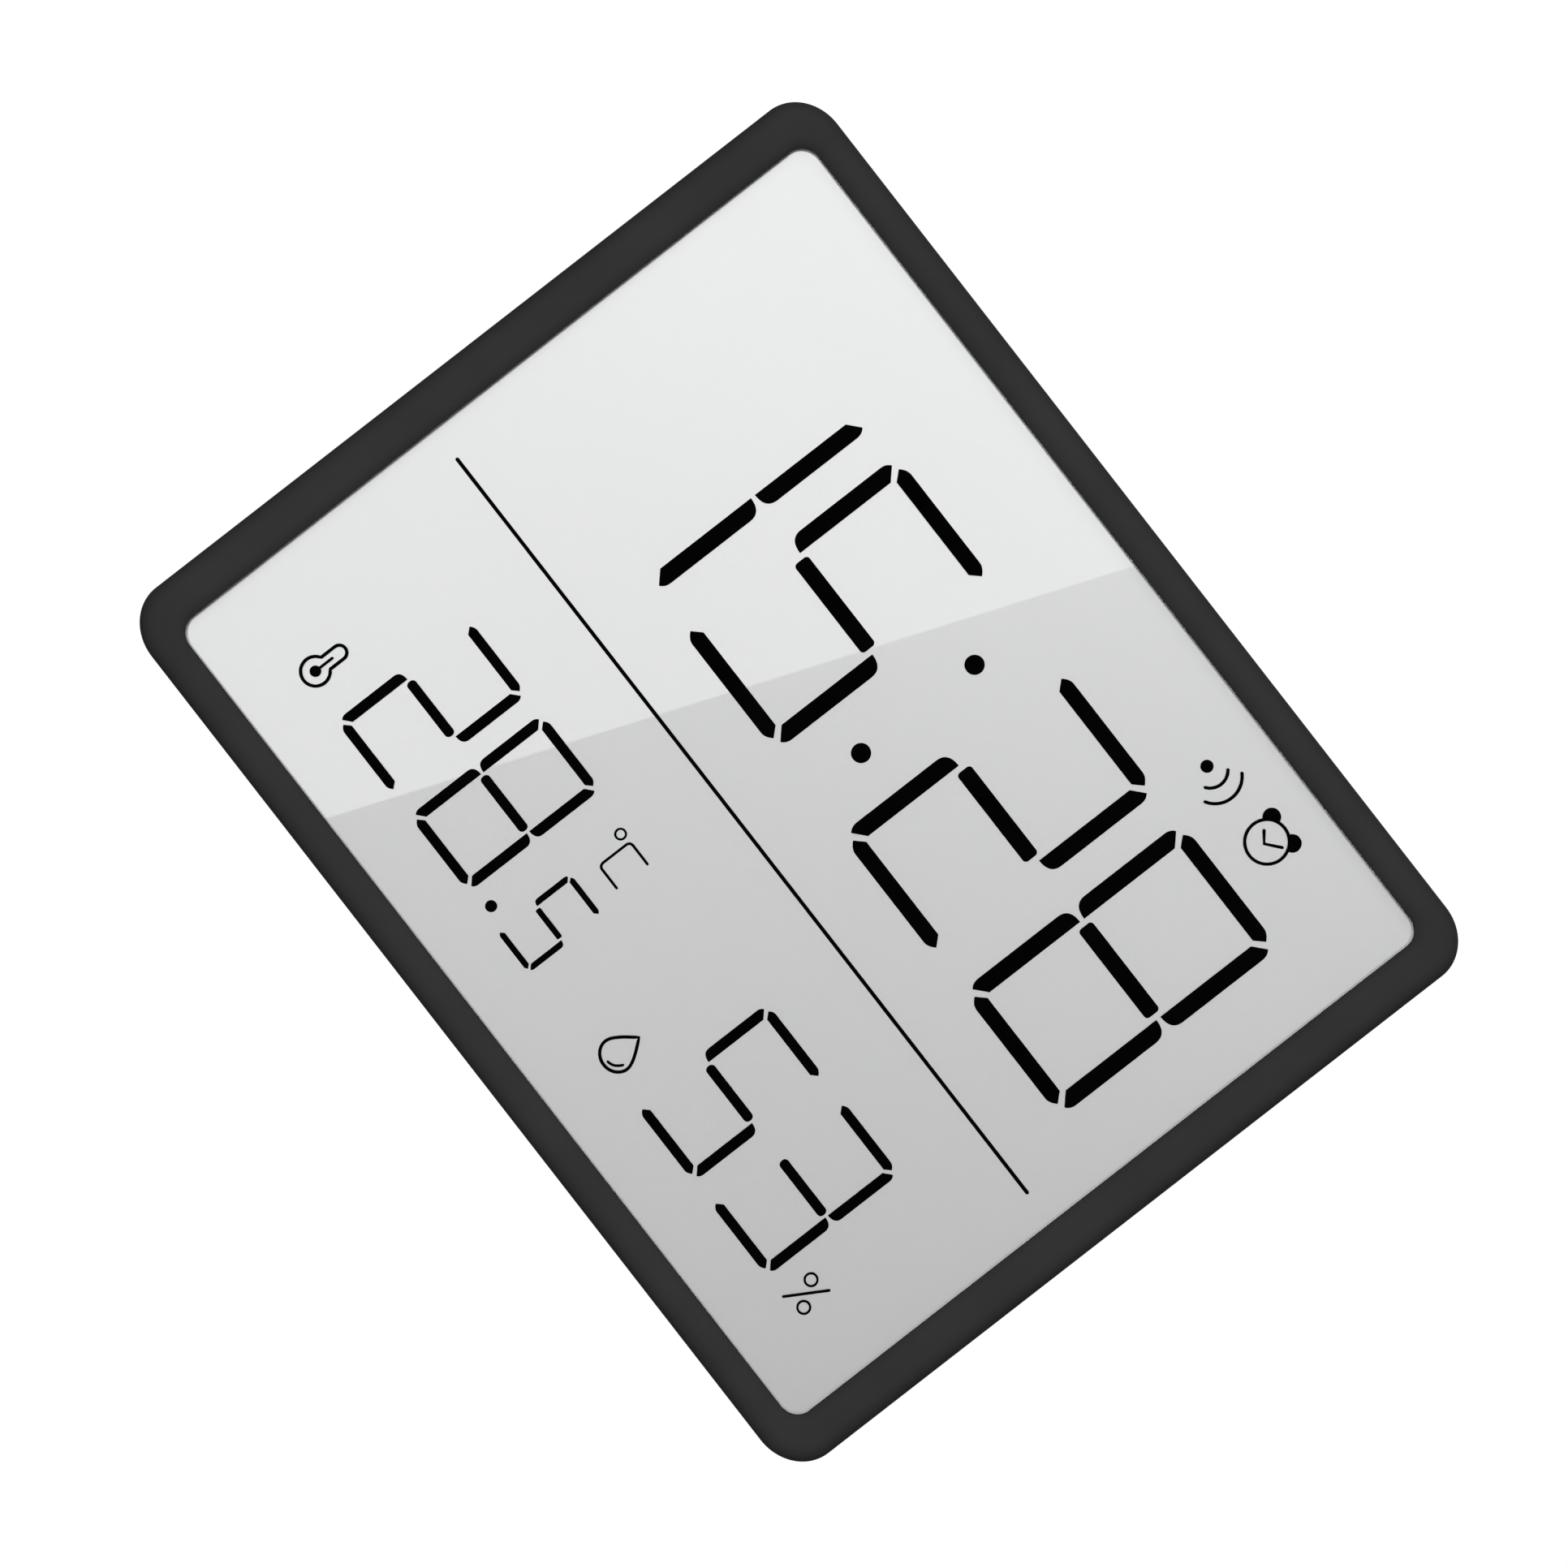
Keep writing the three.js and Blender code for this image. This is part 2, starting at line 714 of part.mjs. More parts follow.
function dropReliefs(z, relief) {
  const { x, halfWide: side, tip, base, stroke } = dropIcon;
  const flank = [
    new THREE.CubicBezierCurve(point(0, tip), point(-1.92, 3.29), point(-side, 1.52), point(-side, 0.13)),
    new THREE.CubicBezierCurve(point(-side, 0.13), point(-side, -1.52), point(-1.79, -base), point(0, -base)),
  ];
  const left = flank.flatMap((curve) => curve.getPoints(6).slice(0, -1));
  const right = mirrored([...left.slice(1), point(0, -base)], -1, 1).reverse();
  const glint = new THREE.QuadraticBezierCurve(point(-0.04, -1.73), point(0.99, -1.71), point(2.16, 0.03));
  return [
    loopRelief(moved([...left, ...right], x, z), stroke, relief),
    relief(strokePoints(moved(glint.getPoints(5), x, z), 0.5)),
  ];
}

function percentReliefs(z, relief, ring) {
  const { x, ringStroke, stroke } = percentMark;
  const slash = [point(x - 2.3, z - 3.9), point(x + 2.04, z + 3.58)];
  return [
    ring(x - 1.63, z + 2.12, percentMark.ring, ringStroke),
    ring(x + 1.63, z - 2.14, percentMark.ring, ringStroke),
    relief(strokePoints(slash, stroke)),
  ];
}

// Flat bezel with a rounded outer edge and a rounded lip, side walls, screw bosses and the ribs
// that centre the glass
function frontFrame() {
  const quarter = (steps) => Array.from({ length: steps + 1 }, (_, i) => ((i / steps) * Math.PI) / 2);
  const shell = loft(
    [
      { points: outlinePoints(0), depth: frameDepth },
      ...quarter(roundSteps).map((t) => ({
        points: outlinePoints(edgeRound * (1 - Math.cos(t))),
        depth: edgeRound * (1 - Math.sin(t)),
      })),
      ...quarter(windowSteps).map((t) => ({
        points: windowPoints(windowRound * (1 - Math.sin(t))),
        depth: windowRound * (1 - Math.cos(t)),
      })),
      { points: windowPoints(0), depth: lipThickness },
      { points: outlinePoints(frameWall), depth: lipThickness },
      { points: outlinePoints(frameWall), depth: frameDepth },
    ],
    true,
  );
  const fuse = 0.2;
  const innerWide = halfWide - frameWall + fuse;
  const innerTall = halfTall - frameWall + fuse;
  const ribHalf = ribWide / 2;
  const ribX = halfWide / 2;
  const ribZ = frameScrewHeight * 0.6;
  const ribs = [-1, 1].flatMap((side) => [
    ...[-ribZ, ribZ].map((z) => {
      const edges = [side * (glassHalfWide + seatGap), side * innerWide].sort((p, q) => p - q);
      return block(edges[0], edges[1], lipThickness - fuse, reflectorFront, z - ribHalf, z + ribHalf);
    }),
    block(side * ribX - ribHalf, side * ribX + ribHalf, lipThickness - fuse, reflectorFront, -innerTall,
      glassBottom - seatGap),
    block(side * ribX - ribHalf, side * ribX + ribHalf, lipThickness - fuse, segmentFront, glassTop + seatGap,
      innerTall),
  ]);
  const bosses = frameScrewPlaces().map(([x, z]) =>
    post(frameBossRadius, lipThickness - fuse, carrierFront - faceGap, x, z),
  );
  const pilots = frameScrewPlaces().map(([x, z]) =>
    post(frameScrew.thread + screwGap, carrierBack - frameScrew.length - seatGap, carrierFront, x, z, smallSides),
  );
  return cut(join(shell, ...ribs, ...bosses), ...pilots);
}

function frameScrewPlaces() {
  const x = halfWide - frameWall - frameBossRadius + 0.1;
  return [[-x, -frameScrewHeight], [x, -frameScrewHeight], [-x, frameScrewHeight], [x, frameScrewHeight]];
}

function housingScrewPlaces() {
  const x = halfWide - bossInset;
  const z = halfTall - bossInset;
  return [[-x, -z], [x, -z], [-x, z], [x, z]];
}

function boardScrewPlaces() {
  const x = boardHalfWide - 4;
  return [[-x, boardBottom + 4.5], [x, boardBottom + 4.5], [-x, boardTop - 8], [x, boardTop - 8]];
}

function lensOutline(inset) {
  const centre = (windowTop + windowBottom) / 2;
  return roundedPoints(
    glassHalfWide - inset,
    windowHalfTall + lensLap - inset,
    lensCorner,
    lensCorner,
    0,
    centre,
    cornerSteps,
  );
}

function lensTape() {
  return plate(lensOutline(0), tapeFront, tapeFront + tapeThickness, [windowPoints(seatGap)]);
}

function lens() {
  return plate(lensOutline(0), lensFront, lensFront + lensThickness);
}

// A glass or film behind the lens, up to a given top edge
function displaySheet(top, front, thickness) {
  const tall = (top - glassBottom) / 2;
  return panel(glassHalfWide, tall, 0.5, 0, glassBottom + tall, front, front + thickness, 2);
}

// Moulded plate behind the display with lightening windows, two ribs, the slot for the rubber
// connector and the screw bosses
function displayCarrier() {
  const body = plate(outlinePoints(frameWall + carrierGap), carrierFront, carrierBack);
  const ribX = halfWide - carrierRibInset;
  const openingTop = windowTop - openingTopDrop;
  const openingBottom = windowBottom + openingBottomRise;
  const openingWide = (2 * ribX - 4 * openingWeb) / 3;
  const openingTall = (openingTop - openingBottom - openingRowWeb) / 2;
  const openings = [-1, 0, 1].flatMap((column) =>
    [openingTop - openingTall / 2, openingBottom + openingTall / 2].map((z) =>
      panel(openingWide / 2, openingTall / 2, openingCorner, column * (openingWide + openingWeb), z, carrierFront - 1,
        carrierBack + 1),
    ),
  );
  const slot = block(-zebraLength / 2 - seatGap, zebraLength / 2 + seatGap, carrierFront - 1, carrierBack + 1,
    zebraBottom - seatGap / 2, zebraBottom + zebraThickness + seatGap / 2);
  const ribs = [-ribX, ribX].map((x) =>
    block(x - ribWide / 2, x + ribWide / 2, carrierBack - 0.2, carrierBack + carrierRibTall, openingBottom,
      boardBottom - 6),
  );
  const boardBosses = boardScrewPlaces().map(([x, z]) => post(2.5, carrierBack - 0.2, boardFront - faceGap, x, z));
  const housingBosses = housingScrewPlaces().map(([x, z]) =>
    post(carrierBossRadius, carrierBack - 0.2, carrierBossBack, x, z),
  );
  const boardPilots = boardScrewPlaces().map(([x, z]) =>
    post(boardScrew.thread + screwGap, boardBack + faceGap - boardScrew.length - seatGap, boardFront, x, z,
      smallSides),
  );
  const housingPilots = housingScrewPlaces().map(([x, z]) =>
    post(housingScrew.thread + screwGap, headSeat - housingScrew.length - seatGap, carrierBossBack + 1, x, z,
      smallSides),
  );
  const frameHoles = frameScrewPlaces().map(([x, z]) =>
    post(frameScrew.thread + seatGap, carrierFront - 1, carrierBack + 1, x, z, smallSides),
  );
  return cut(
    join(body, ...ribs, ...boardBosses, ...housingBosses),
    ...openings,
    slot,
    ...boardPilots,
    ...housingPilots,
    ...frameHoles,
  );
}

function zebraStrip() {
  const front = frontGlassFront + glassThickness + faceGap;
  return panel(zebraLength / 2, zebraThickness / 2, 0.3, 0, zebraBottom + zebraThickness / 2, front,
    boardFront - faceGap, 1);
}

function mainBoard() {
  const tall = (boardTop - boardBottom) / 2;
  const body = panel(boardHalfWide, tall, 1.5, 0, boardBottom + tall, boardFront, boardBack, 2);
  return cut(
    body,
    ...boardScrewPlaces().map(([x, z]) =>
      post(boardScrew.thread + seatGap, boardFront - 1, boardBack + 1, x, z, smallSides),
    ),
  );
}

function controllerChip() {
  const arc = Array.from({ length: 5 }, (_, i) => {
    const angle = (i / 4) * (Math.PI / 2);
    return [chipRadius * Math.cos(angle), chipHeight * Math.sin(angle)];
  });
  arc[4][0] = 0;
  return turned([[0, 0], ...arc], 14);
}

// Small can that lies flat on the board beside the chip
function clockCrystal() {
  const left = chipX - crystalReach;
  return bar(crystalRadius, left, left + crystalLength, boardBack + faceGap + crystalRadius, boardBottom + crystalRise,
    12);
}

function smoothingCapacitor() {
  const r = capacitorRadius;
  const h = capacitorHeight;
  return turned([[0, 0], [r - 0.1, 0], [r, 0.8], [r - 0.3, 1.1], [r, 1.4], [r, h - 0.3], [r - 0.3, h], [0, h]], 12);
}

// Square push switch with a round collar and the well that its plunger slides in
function switchBody() {
  const half = switchSize / 2;
  const collar = plungerRadius + 0.7;
  return cut(
    join(
      block(-half, half, clockDepth, clockDepth + switchTall - 0.4, -half, half),
      post(collar, clockDepth + switchTall - 1, clockDepth + switchTall, 0, 0, 12),
    ),
    post(plungerRadius + 0.25, clockDepth + switchTall - 2, clockDepth + switchTall + 1, 0, 0, 12),
  );
}

function switchPlunger() {
  const r = plungerRadius;
  const tall = plungerReach + 1;
  return turned([[0, 0], [r, 0], [r, tall - 0.3], [r - 0.3, tall], [0, tall]], 12);
}

// Dished cap, retaining flange and the stem that reaches the switch
function buttonCap() {
  const r = buttonRadius;
  const face = clockDepth - 0.4;
  const flangeBack = rearInner - seatGap - 0.1;
  const flangeFront = flangeBack - 0.8;
  const stemEnd = plungerBack + 0.2;
  return turned(
    [
      [0, at(stemEnd)],
      [plungerRadius, at(stemEnd)],
      [plungerRadius, at(flangeFront)],
      [r + buttonFlange, at(flangeFront)],
      [r + buttonFlange, at(flangeBack)],
      [r, at(flangeBack)],
      [r, at(face - 0.3)],
      [r - 0.3, at(face)],
      [r * 0.6, at(face - 0.15)],
      [0, at(face - 0.2)],
    ],
    14,
  );
}

// A pan-head screw with its head's seat at the origin and its thread towards the front
function screw({ thread, head, tall, length }) {
  return turned(
    [
      [0, -length],
      [thread * 0.4, -length],
      [thread, -length + thread],
      [thread, 0],
      [head, 0],
      [head, tall * 0.5],
      [head * 0.6, tall],
      [0, tall],
    ],
    12,
  );
}

// A closed tub with drafted walls, a rounded back edge and everything that is moulded into it
function rearHousing() {
  const slope = (depth) => tubReveal + (tubDraft * (depth - tubFront)) / (clockDepth - tubRound - tubFront);
  const roundStart = clockDepth - tubRound;
  const rounding = Array.from({ length: roundSteps + 1 }, (_, i) => {
    const angle = (i / roundSteps) * (Math.PI / 2);
    return {
      points: outlinePoints(slope(roundStart) + tubRound * (1 - Math.cos(angle))),
      depth: roundStart + tubRound * Math.sin(angle),
    };
  });
  const skin = loft([{ points: outlinePoints(tubReveal), depth: tubFront }, ...rounding]);
  const hollow = loft([
    { points: outlinePoints(tubReveal + rearWall), depth: tubFront - 1 },
    { points: outlinePoints(slope(roundStart) + rearWall), depth: roundStart },
    { points: outlinePoints(slope(roundStart) + rearWall + 1.5), depth: rearInner },
  ]);
  const tongueInset = frameWall + 0.2;
  const tongue = plate(outlinePoints(tongueInset), tongueFront, tubFront + 1.5, [
    outlinePoints(tongueInset + tongueWall),
  ]);
  const shell = join(cut(skin, hollow), tongue);
  const added = [
    ...rearBosses(),
    ...bayWalls(),
    keyPocketWalls(),
    ...standRecessWalls(),
    ...buzzerSeat(),
    ...sensorPosts(),
    ...stiffeners(),
  ];
  const removed = [
    ...screwWells(),
    ...bayHollows(),
    ...keyholeCuts(),
    ...standRecessCuts(),
    ...buttonOpenings(),
    ...soundHoles(),
    ...vents(),
  ];
  return join(cut(join(shell, ...added), ...removed), ...bayCradles());
}

function rearBosses() {
  return housingScrewPlaces().map(([x, z]) => post(rearBossRadius, rearBossFront, rearInner + 0.5, x, z));
}

function screwWells() {
  return housingScrewPlaces().flatMap(([x, z]) => [
    post(housingScrew.head + 0.5, headSeat, clockDepth + 1, x, z),
    post(housingScrew.thread + seatGap, rearBossFront - 1, headSeat + 1, x, z, smallSides),
  ]);
}

// The battery bay's box, and the thicker frame that carries the door
function bayWalls() {
  const outerWide = bayHalfWide + bayWall;
  const outerTall = bayHalfTall + bayWall;
  return [
    block(-outerWide, outerWide, bayFloor - bayWall, rearInner + 0.5, bayCentre - outerTall, bayCentre + outerTall),
    block(-bayFrameHalf, bayFrameHalf, doorAxisDepth - doorBarrel - seatGap - 1.6, rearInner + 0.5,
      doorBottom - doorFrame - 1.5, doorHinge + doorBarrel + slideGap + 1.6),
  ];
}

function bayHollows() {
  const openWide = doorHalfWide + slideGap;
  const trough = doorBarrel + slideGap;
  const pegHole = doorPegRadius + 0.2;
  const reach = openWide + doorPegLength + 0.2;
  const tabSlots = [bayCentre + cellPitch / 2, bayCentre - cellPitch / 2].map((z) =>
    block(bayHalfWide - 0.5, bayHalfWide + bayWall + 0.5, cellAxis - 5, cellAxis - 3.8, z - 2, z + 2),
  );
  const nailScoop = bar(5, -9, 9, clockDepth + 3.4, doorBottom - 1.6, 20);
  return [
    block(-bayHalfWide, bayHalfWide, bayFloor, clockDepth + 1, bayCentre - bayHalfTall, bayCentre + bayHalfTall),
    block(-openWide, openWide, doorLedge, clockDepth + 1, doorBottom - slideGap, doorHinge),
    block(-openWide, openWide, doorAxisDepth - trough, clockDepth + 1, doorHinge - trough, doorHinge + trough),
    bar(pegHole, -reach, -openWide + 0.5, doorAxisDepth, doorHinge, smallSides),
    bar(pegHole, openWide - 0.5, reach, doorAxisDepth, doorHinge, smallSides),
    nailScoop,
    ...tabSlots,
  ];
}

// Two cross ribs in the bay, hollowed to the cells
function bayCradles() {
  const hollows = [1, -1].map((side) =>
    bar(cellDiameter / 2 + seatGap, -bayHalfWide, bayHalfWide, cellAxis, bayCentre + (side * cellPitch) / 2, 20),
  );
  return [-15, 15].map((x) =>
    cut(
      block(x - 0.7, x + 0.7, bayFloor - 0.3, bayFloor + 4, bayCentre - bayHalfTall - 0.3, bayCentre + bayHalfTall + 0.3),
      ...hollows,
    ),
  );
}

const keyHoleZ = hangHeight - keyDrop;
const keyPocketTop = hangHeight + keyPocketWide / 2;
const keyPocketBottom = keyHoleZ - keyPocketWide / 2;

function keyPocketWalls() {
  const wide = keyPocketWide / 2 + keyPocketWall;
  const tall = (keyPocketTop - keyPocketBottom) / 2 + keyPocketWall;
  return panel(wide, tall, 3, 0, (keyPocketTop + keyPocketBottom) / 2, rearInner - keyPocketDepth - keyPocketWall,
    rearInner + 0.5);
}

function keyholeCuts() {
  const tall = (keyPocketTop - keyPocketBottom) / 2;
  const half = keySlotWidth / 2;
  return [
    panel(keyPocketWide / 2, tall, 1.6, 0, (keyPocketTop + keyPocketBottom) / 2, rearInner - keyPocketDepth, rearInner),
    post(keyHoleDiameter / 2, rearInner - 0.5, clockDepth + 1, 0, keyHoleZ, 20),
    block(-half, half, rearInner - 0.5, clockDepth + 1, keyHoleZ, hangHeight),
    post(half, rearInner - 0.5, clockDepth + 1, 0, hangHeight),
  ];
}

function standRecessWalls() {
  const half = standWidth / 2 + standSideGap;
  return [
    block(-half - 2, half + 2, standRecessFloor - standFloor, rearInner + 0.5, -halfTall + tubReveal + rearWall,
      standRecessTop + 2),
    block(-half - standPinSeat - 1.4, half + standPinSeat + 1.4, standAxisDepth - standPinRadius - 2,
      rearInner + 0.5, standHinge - 3.2, standHinge + 3.2),
  ];
}

function standRecessCuts() {
  const half = standWidth / 2 + standSideGap;
  const tipHalf = standTipWidth / 2 + standSideGap;
  const bottom = standTip - standSideGap;
  const recess = [
    point(-half, standRecessTop),
    point(-tipHalf, bottom),
    point(tipHalf, bottom),
    point(half, standRecessTop),
  ];
  const seat = half + standPinSeat;
  const tipScoop = bar(7, -8, 8, clockDepth + 3.6, bottom - 1.2, 20);
  return [
    plate(recess, standRecessFloor, clockDepth + 1),
    bar(standPinRadius + screwGap, -seat, seat, standAxisDepth, standHinge, 12),
    tipScoop,
  ];
}

function buttonPlaces() {
  return Array.from({ length: buttonCount }, (_, i) => [buttonFirst + i * buttonPitch, buttonHeight]);
}

// A shallow dish with a round opening for each button
function buttonOpenings() {
  const half = ((buttonCount - 1) * buttonPitch) / 2;
  const rim = buttonRadius + 2.6;
  return [
    panel(half + rim, rim, rim - 0.1, buttonFirst + half, buttonHeight, clockDepth - buttonDish, clockDepth + 1, 5),
    ...buttonPlaces().map(([x, z]) =>
      post(buttonRadius + slideGap, rearInner - 1, clockDepth + 1, x, z, 18),
    ),
  ];
}

function buzzerSeat() {
  const front = buzzerFront() - 0.8;
  return [
    ringPost(buzzerRadius + 1.6, buzzerRadius + seatGap, front, rearInner + 0.3),
    ringPost(buzzerRadius + 0.6, buzzerRadius - 1.4, buzzerFront() + 2 * buzzerThickness + faceGap, rearInner + 0.3),
  ];
}

function buzzerFront() {
  return rearInner - 1.8;
}

function ringPost(outer, inner, front, back) {
  return cut(
    post(outer, front, back, buzzerX, buzzerZ, 24),
    post(inner, front - 1, back + 1, buzzerX, buzzerZ, 24),
  );
}

// Brass disc with the thin ceramic on its front
function buzzerDisc() {
  const plateBack = buzzerFront() + 2 * buzzerThickness;
  return join(
    post(buzzerRadius, plateBack - buzzerThickness, plateBack, buzzerX, buzzerZ, 24),
    post(buzzerRadius * 0.68, buzzerFront(), plateBack - buzzerThickness + 0.05, buzzerX, buzzerZ, 20),
  );
}

function soundHoles() {
  const places = [[0, 0]];
  for (let i = 0; i < 6; i += 1) {
    places.push([4.2 * Math.cos((i * Math.PI) / 3), 4.2 * Math.sin((i * Math.PI) / 3)]);
  }
  return places.map(([x, z]) => post(1, rearInner - 1, clockDepth + 1, buzzerX + x, buzzerZ + z, 8));
}

function vents() {
  const half = ventWidth / 2;
  return Array.from({ length: ventCount }, (_, i) => {
    const z = sensorZ + (i - (ventCount - 1) / 2) * ventPitch;
    return panel(ventLength / 2, half, half - 0.05, sensorX, z, rearInner - 1, clockDepth + 1, 2);
  });
}

const sensorBoardFront = rearInner - 5;
const sensorPinX = sensorWide / 2 - 2;

// Posts beside the vents with the pins that are heat-staked over the sensor board
function sensorPosts() {
  return [-1, 1].flatMap((side) => [
    post(1.7, sensorBoardFront + sensorBoardThickness + faceGap, rearInner + 0.3, sensorX + side * (sensorPinX + 1.2),
      sensorZ, 12),
    post(0.7, sensorBoardFront - 0.5, rearInner, sensorX + side * sensorPinX, sensorZ, 8),
  ]);
}

function sensorBoard() {
  const body = panel(sensorWide / 2, sensorTall / 2, 1, sensorX, sensorZ, sensorBoardFront,
    sensorBoardFront + sensorBoardThickness, 2);
  return cut(
    body,
    ...[-1, 1].map((side) =>
      post(0.9, sensorBoardFront - 1, sensorBoardFront + sensorBoardThickness + 1, sensorX + side * sensorPinX,
        sensorZ, 8),
    ),
  );
}

// A small square package with the round port that lets air to the sensor
function humiditySensor() {
  const front = sensorBoardFront + sensorBoardThickness + faceGap;
  return cut(
    block(sensorX - 1.8, sensorX + 1.8, front, front + 1.3, sensorZ - 1.8, sensorZ + 1.8),
    post(0.8, front + 0.9, front + 2, sensorX, sensorZ, 10),
  );
}

// Low ribs inside the back wall, beside the battery bay
function stiffeners() {
  const front = rearInner - stiffenerTall;
  const half = ribWide / 2;
  const first = -bayFrameHalf - stiffenerStart;
  const side = halfWide - stiffenerSideInset;
  const low = -halfTall + stiffenerEndInset;
  const upright = [first, first - stiffenerPitch, side].map((x) =>
    block(x - half, x + half, front, rearInner + 0.3, low, buttonHeight - 14),
  );
  const crossHeight = low + stiffenerPitch * 3.2;
  const cross = block(-side, -bayFrameHalf - seatGap, front, rearInner + 0.3, crossHeight - half, crossHeight + half);
  return [...upright, cross];
}

function batteryCell() {
  const r = cellDiameter / 2;
  const body = cellLength - cellNubHeight;
  return turned(
    [[0, 0], [r - 0.35, 0], [r, 0.35], [r, body - 0.35], [r - 0.35, body], [cellNubRadius, body],
      [cellNubRadius, cellLength], [0, cellLength]],
    20,
  );
}

// Conical spring: one wire wound about the X axis, wide at its foot
class SpringCurve extends THREE.Curve {
  getPoint(t, target = new THREE.Vector3()) {
    const radius = springBaseRadius + (springTopRadius - springBaseRadius) * t - springWire / 2;
    const angle = t * springTurns * 2 * Math.PI;
    const along = springWire / 2 + t * (springLength - springWire);
    return target.set(along, radius * Math.cos(angle), radius * Math.sin(angle));
  }
}

// Least distance between two neighbouring turns of the wire, less the wire itself
function springGap(curve) {
  const steps = springTurns * springStepsPerTurn;
  const points = Array.from({ length: steps + 1 }, (_, i) => curve.getPoint(i / steps));
  let least = Infinity;
  points.forEach((p, i) => {
    for (let j = i + springStepsPerTurn / 2; j < points.length; j += 1) {
      least = Math.min(least, p.distanceTo(points[j]) - springWire);
    }
  });
  return least;
}

function batterySpring(curve) {
  return swept(curve, circlePoints(springWire / 2, springSides), springTurns * springStepsPerTurn);
}

// The battery contacts stand at the ends of the bay. The bridge joins both cells on the left.
function contactBridge() {
  const left = -bayHalfWide + seatGap / 2;
  return panelOnEnd(left, left + contactThickness, bayCentre, cellPitch / 2 + contactWidth / 2);
}

function contactPlate(z) {
  const right = bayHalfWide - seatGap / 2;
  const tab = block(right - contactThickness / 2, bayHalfWide + bayWall + 2, cellAxis - 4.7, cellAxis - 4.2, z - 1.4,
    z + 1.4);
  return join(panelOnEnd(right - contactThickness, right, z, contactWidth / 2), tab);
}

// An upright sheet across the end of the bay with rounded corners
function panelOnEnd(left, right, z, tall) {
  const outline = roundedPoints(contactWidth / 2, tall, 1, 1, 0, 0, 2);
  const geometry = new THREE.ExtrudeGeometry(new THREE.Shape(outline), { depth: right - left, bevelEnabled: false });
  geometry.rotateZ(Math.PI / 2);
  geometry.rotateY(Math.PI / 2);
  geometry.translate(left, at(cellAxis), z);
  return solidOf(geometry);
}

// Hinged cover with a barrel along its top edge, two pegs and a sprung tongue with grip grooves
function batteryDoor() {
  const body = block(-doorHalfWide, doorHalfWide, doorInner, doorInner + doorThickness, doorBottom, doorHinge);
  const barrel = bar(doorBarrel, -doorHalfWide, doorHalfWide, doorAxisDepth, doorHinge);
  const pegEnd = doorHalfWide + slideGap + doorPegLength;
  const pegs = bar(doorPegRadius, -pegEnd, pegEnd, doorAxisDepth, doorHinge, smallSides);
  const slots = [-7, 7].map((x) =>
    block(x - 0.5, x + 0.5, doorInner - 1, clockDepth + 1, doorBottom - 1, doorBottom + 9),
  );
  const grooves = [3, 5, 7].map((rise) =>
    block(-4.5, 4.5, doorInner + doorThickness - 0.5, clockDepth + 1, doorBottom + rise - 0.5, doorBottom + rise + 0.5),
  );
  return cut(join(body, barrel, pegs), ...slots, ...grooves);
}

// Tapered leg, hollowed on the side that faces the housing, with its hinge barrel and stop heel
function standLeg() {
  const half = standWidth / 2;
  const tipHalf = standTipWidth / 2;
  const inner = standOuter - standThickness;
  const outline = [
    point(-half, standHinge),
    point(-tipHalf - 1, standTip + 4),
    point(-tipHalf + 3, standTip),
    point(tipHalf - 3, standTip),
    point(tipHalf + 1, standTip + 4),
    point(half, standHinge),
  ];
  const hollowHalf = tipHalf - 3;
  const hollowTop = standHinge - 5;
  const middle = (hollowTop + standTip + 5) / 2;
  const hollows = [
    block(-hollowHalf, hollowHalf, inner - 1, inner + 1, standTip + 5, middle - 0.7),
    block(-hollowHalf, hollowHalf, inner - 1, inner + 1, middle + 0.7, hollowTop),
  ];
  const heel = block(-half, half, standHeelFront, standOuter, standHinge - 1, standHinge + standHeel);
  const barrel = bar(standBarrel, -half, half, standAxisDepth, standHinge);
  return cut(
    join(plate(outline, inner, standOuter), barrel, heel),
    ...hollows,
    bar(standPinRadius + 0.2, -half - 1, half + 1, standAxisDepth, standHinge, 12),
  );
}

function standPin() {
  const reach = standWidth / 2 + standSideGap + standPinSeat - seatGap;
  return bar(standPinRadius, -reach, reach, standAxisDepth, standHinge, 12);
}

function lead(points, radius, steps = 12) {
  const curve = new THREE.CatmullRomCurve3(points.map(([x, depth, z]) => new THREE.Vector3(x, at(depth), z)));
  return swept(curve, circlePoints(radius, 6), steps);
}

function batteryLead(side) {
  const z = bayCentre + (side * cellPitch) / 2;
  const tabX = bayHalfWide + bayWall + 1.3;
  const away = tabX + leadAway - side;
  const solder = cellAxis - 4.2 + faceGap + leadRadius;
  return lead(
    [
      [tabX, solder, z],
      [away, solder, z + leadBend],
      [away + leadBend / 3, solder + leadBend / 3, z + leadClimb],
      [away + leadBend / 3, boardBack + leadLift, boardBottom + leadBend / 3],
      [away, boardBack + leadLift * 0.8, boardBottom + leadLanding - side],
      [away, boardBack + leadLift * 0.4, boardBottom + leadLanding * 1.1 - side],
      [away, boardBack + solderGap, boardBottom + leadLanding * 1.1 - side],
    ],
    leadRadius,
    16,
  );
}

function buzzerLead() {
  const start = buzzerFront() - solderGap;
  return lead(
    [
      [buzzerX, start, buzzerZ - leadLanding],
      [buzzerX, start - leadLift * 0.4, buzzerZ - leadLanding],
      [buzzerX + leadBend, boardBack + leadLift * 0.6, buzzerZ - leadLanding - leadBend],
      [buzzerX + leadBend, boardBack + solderGap, buzzerZ - leadLanding - leadBend],
    ],
    leadRadius,
  );
}

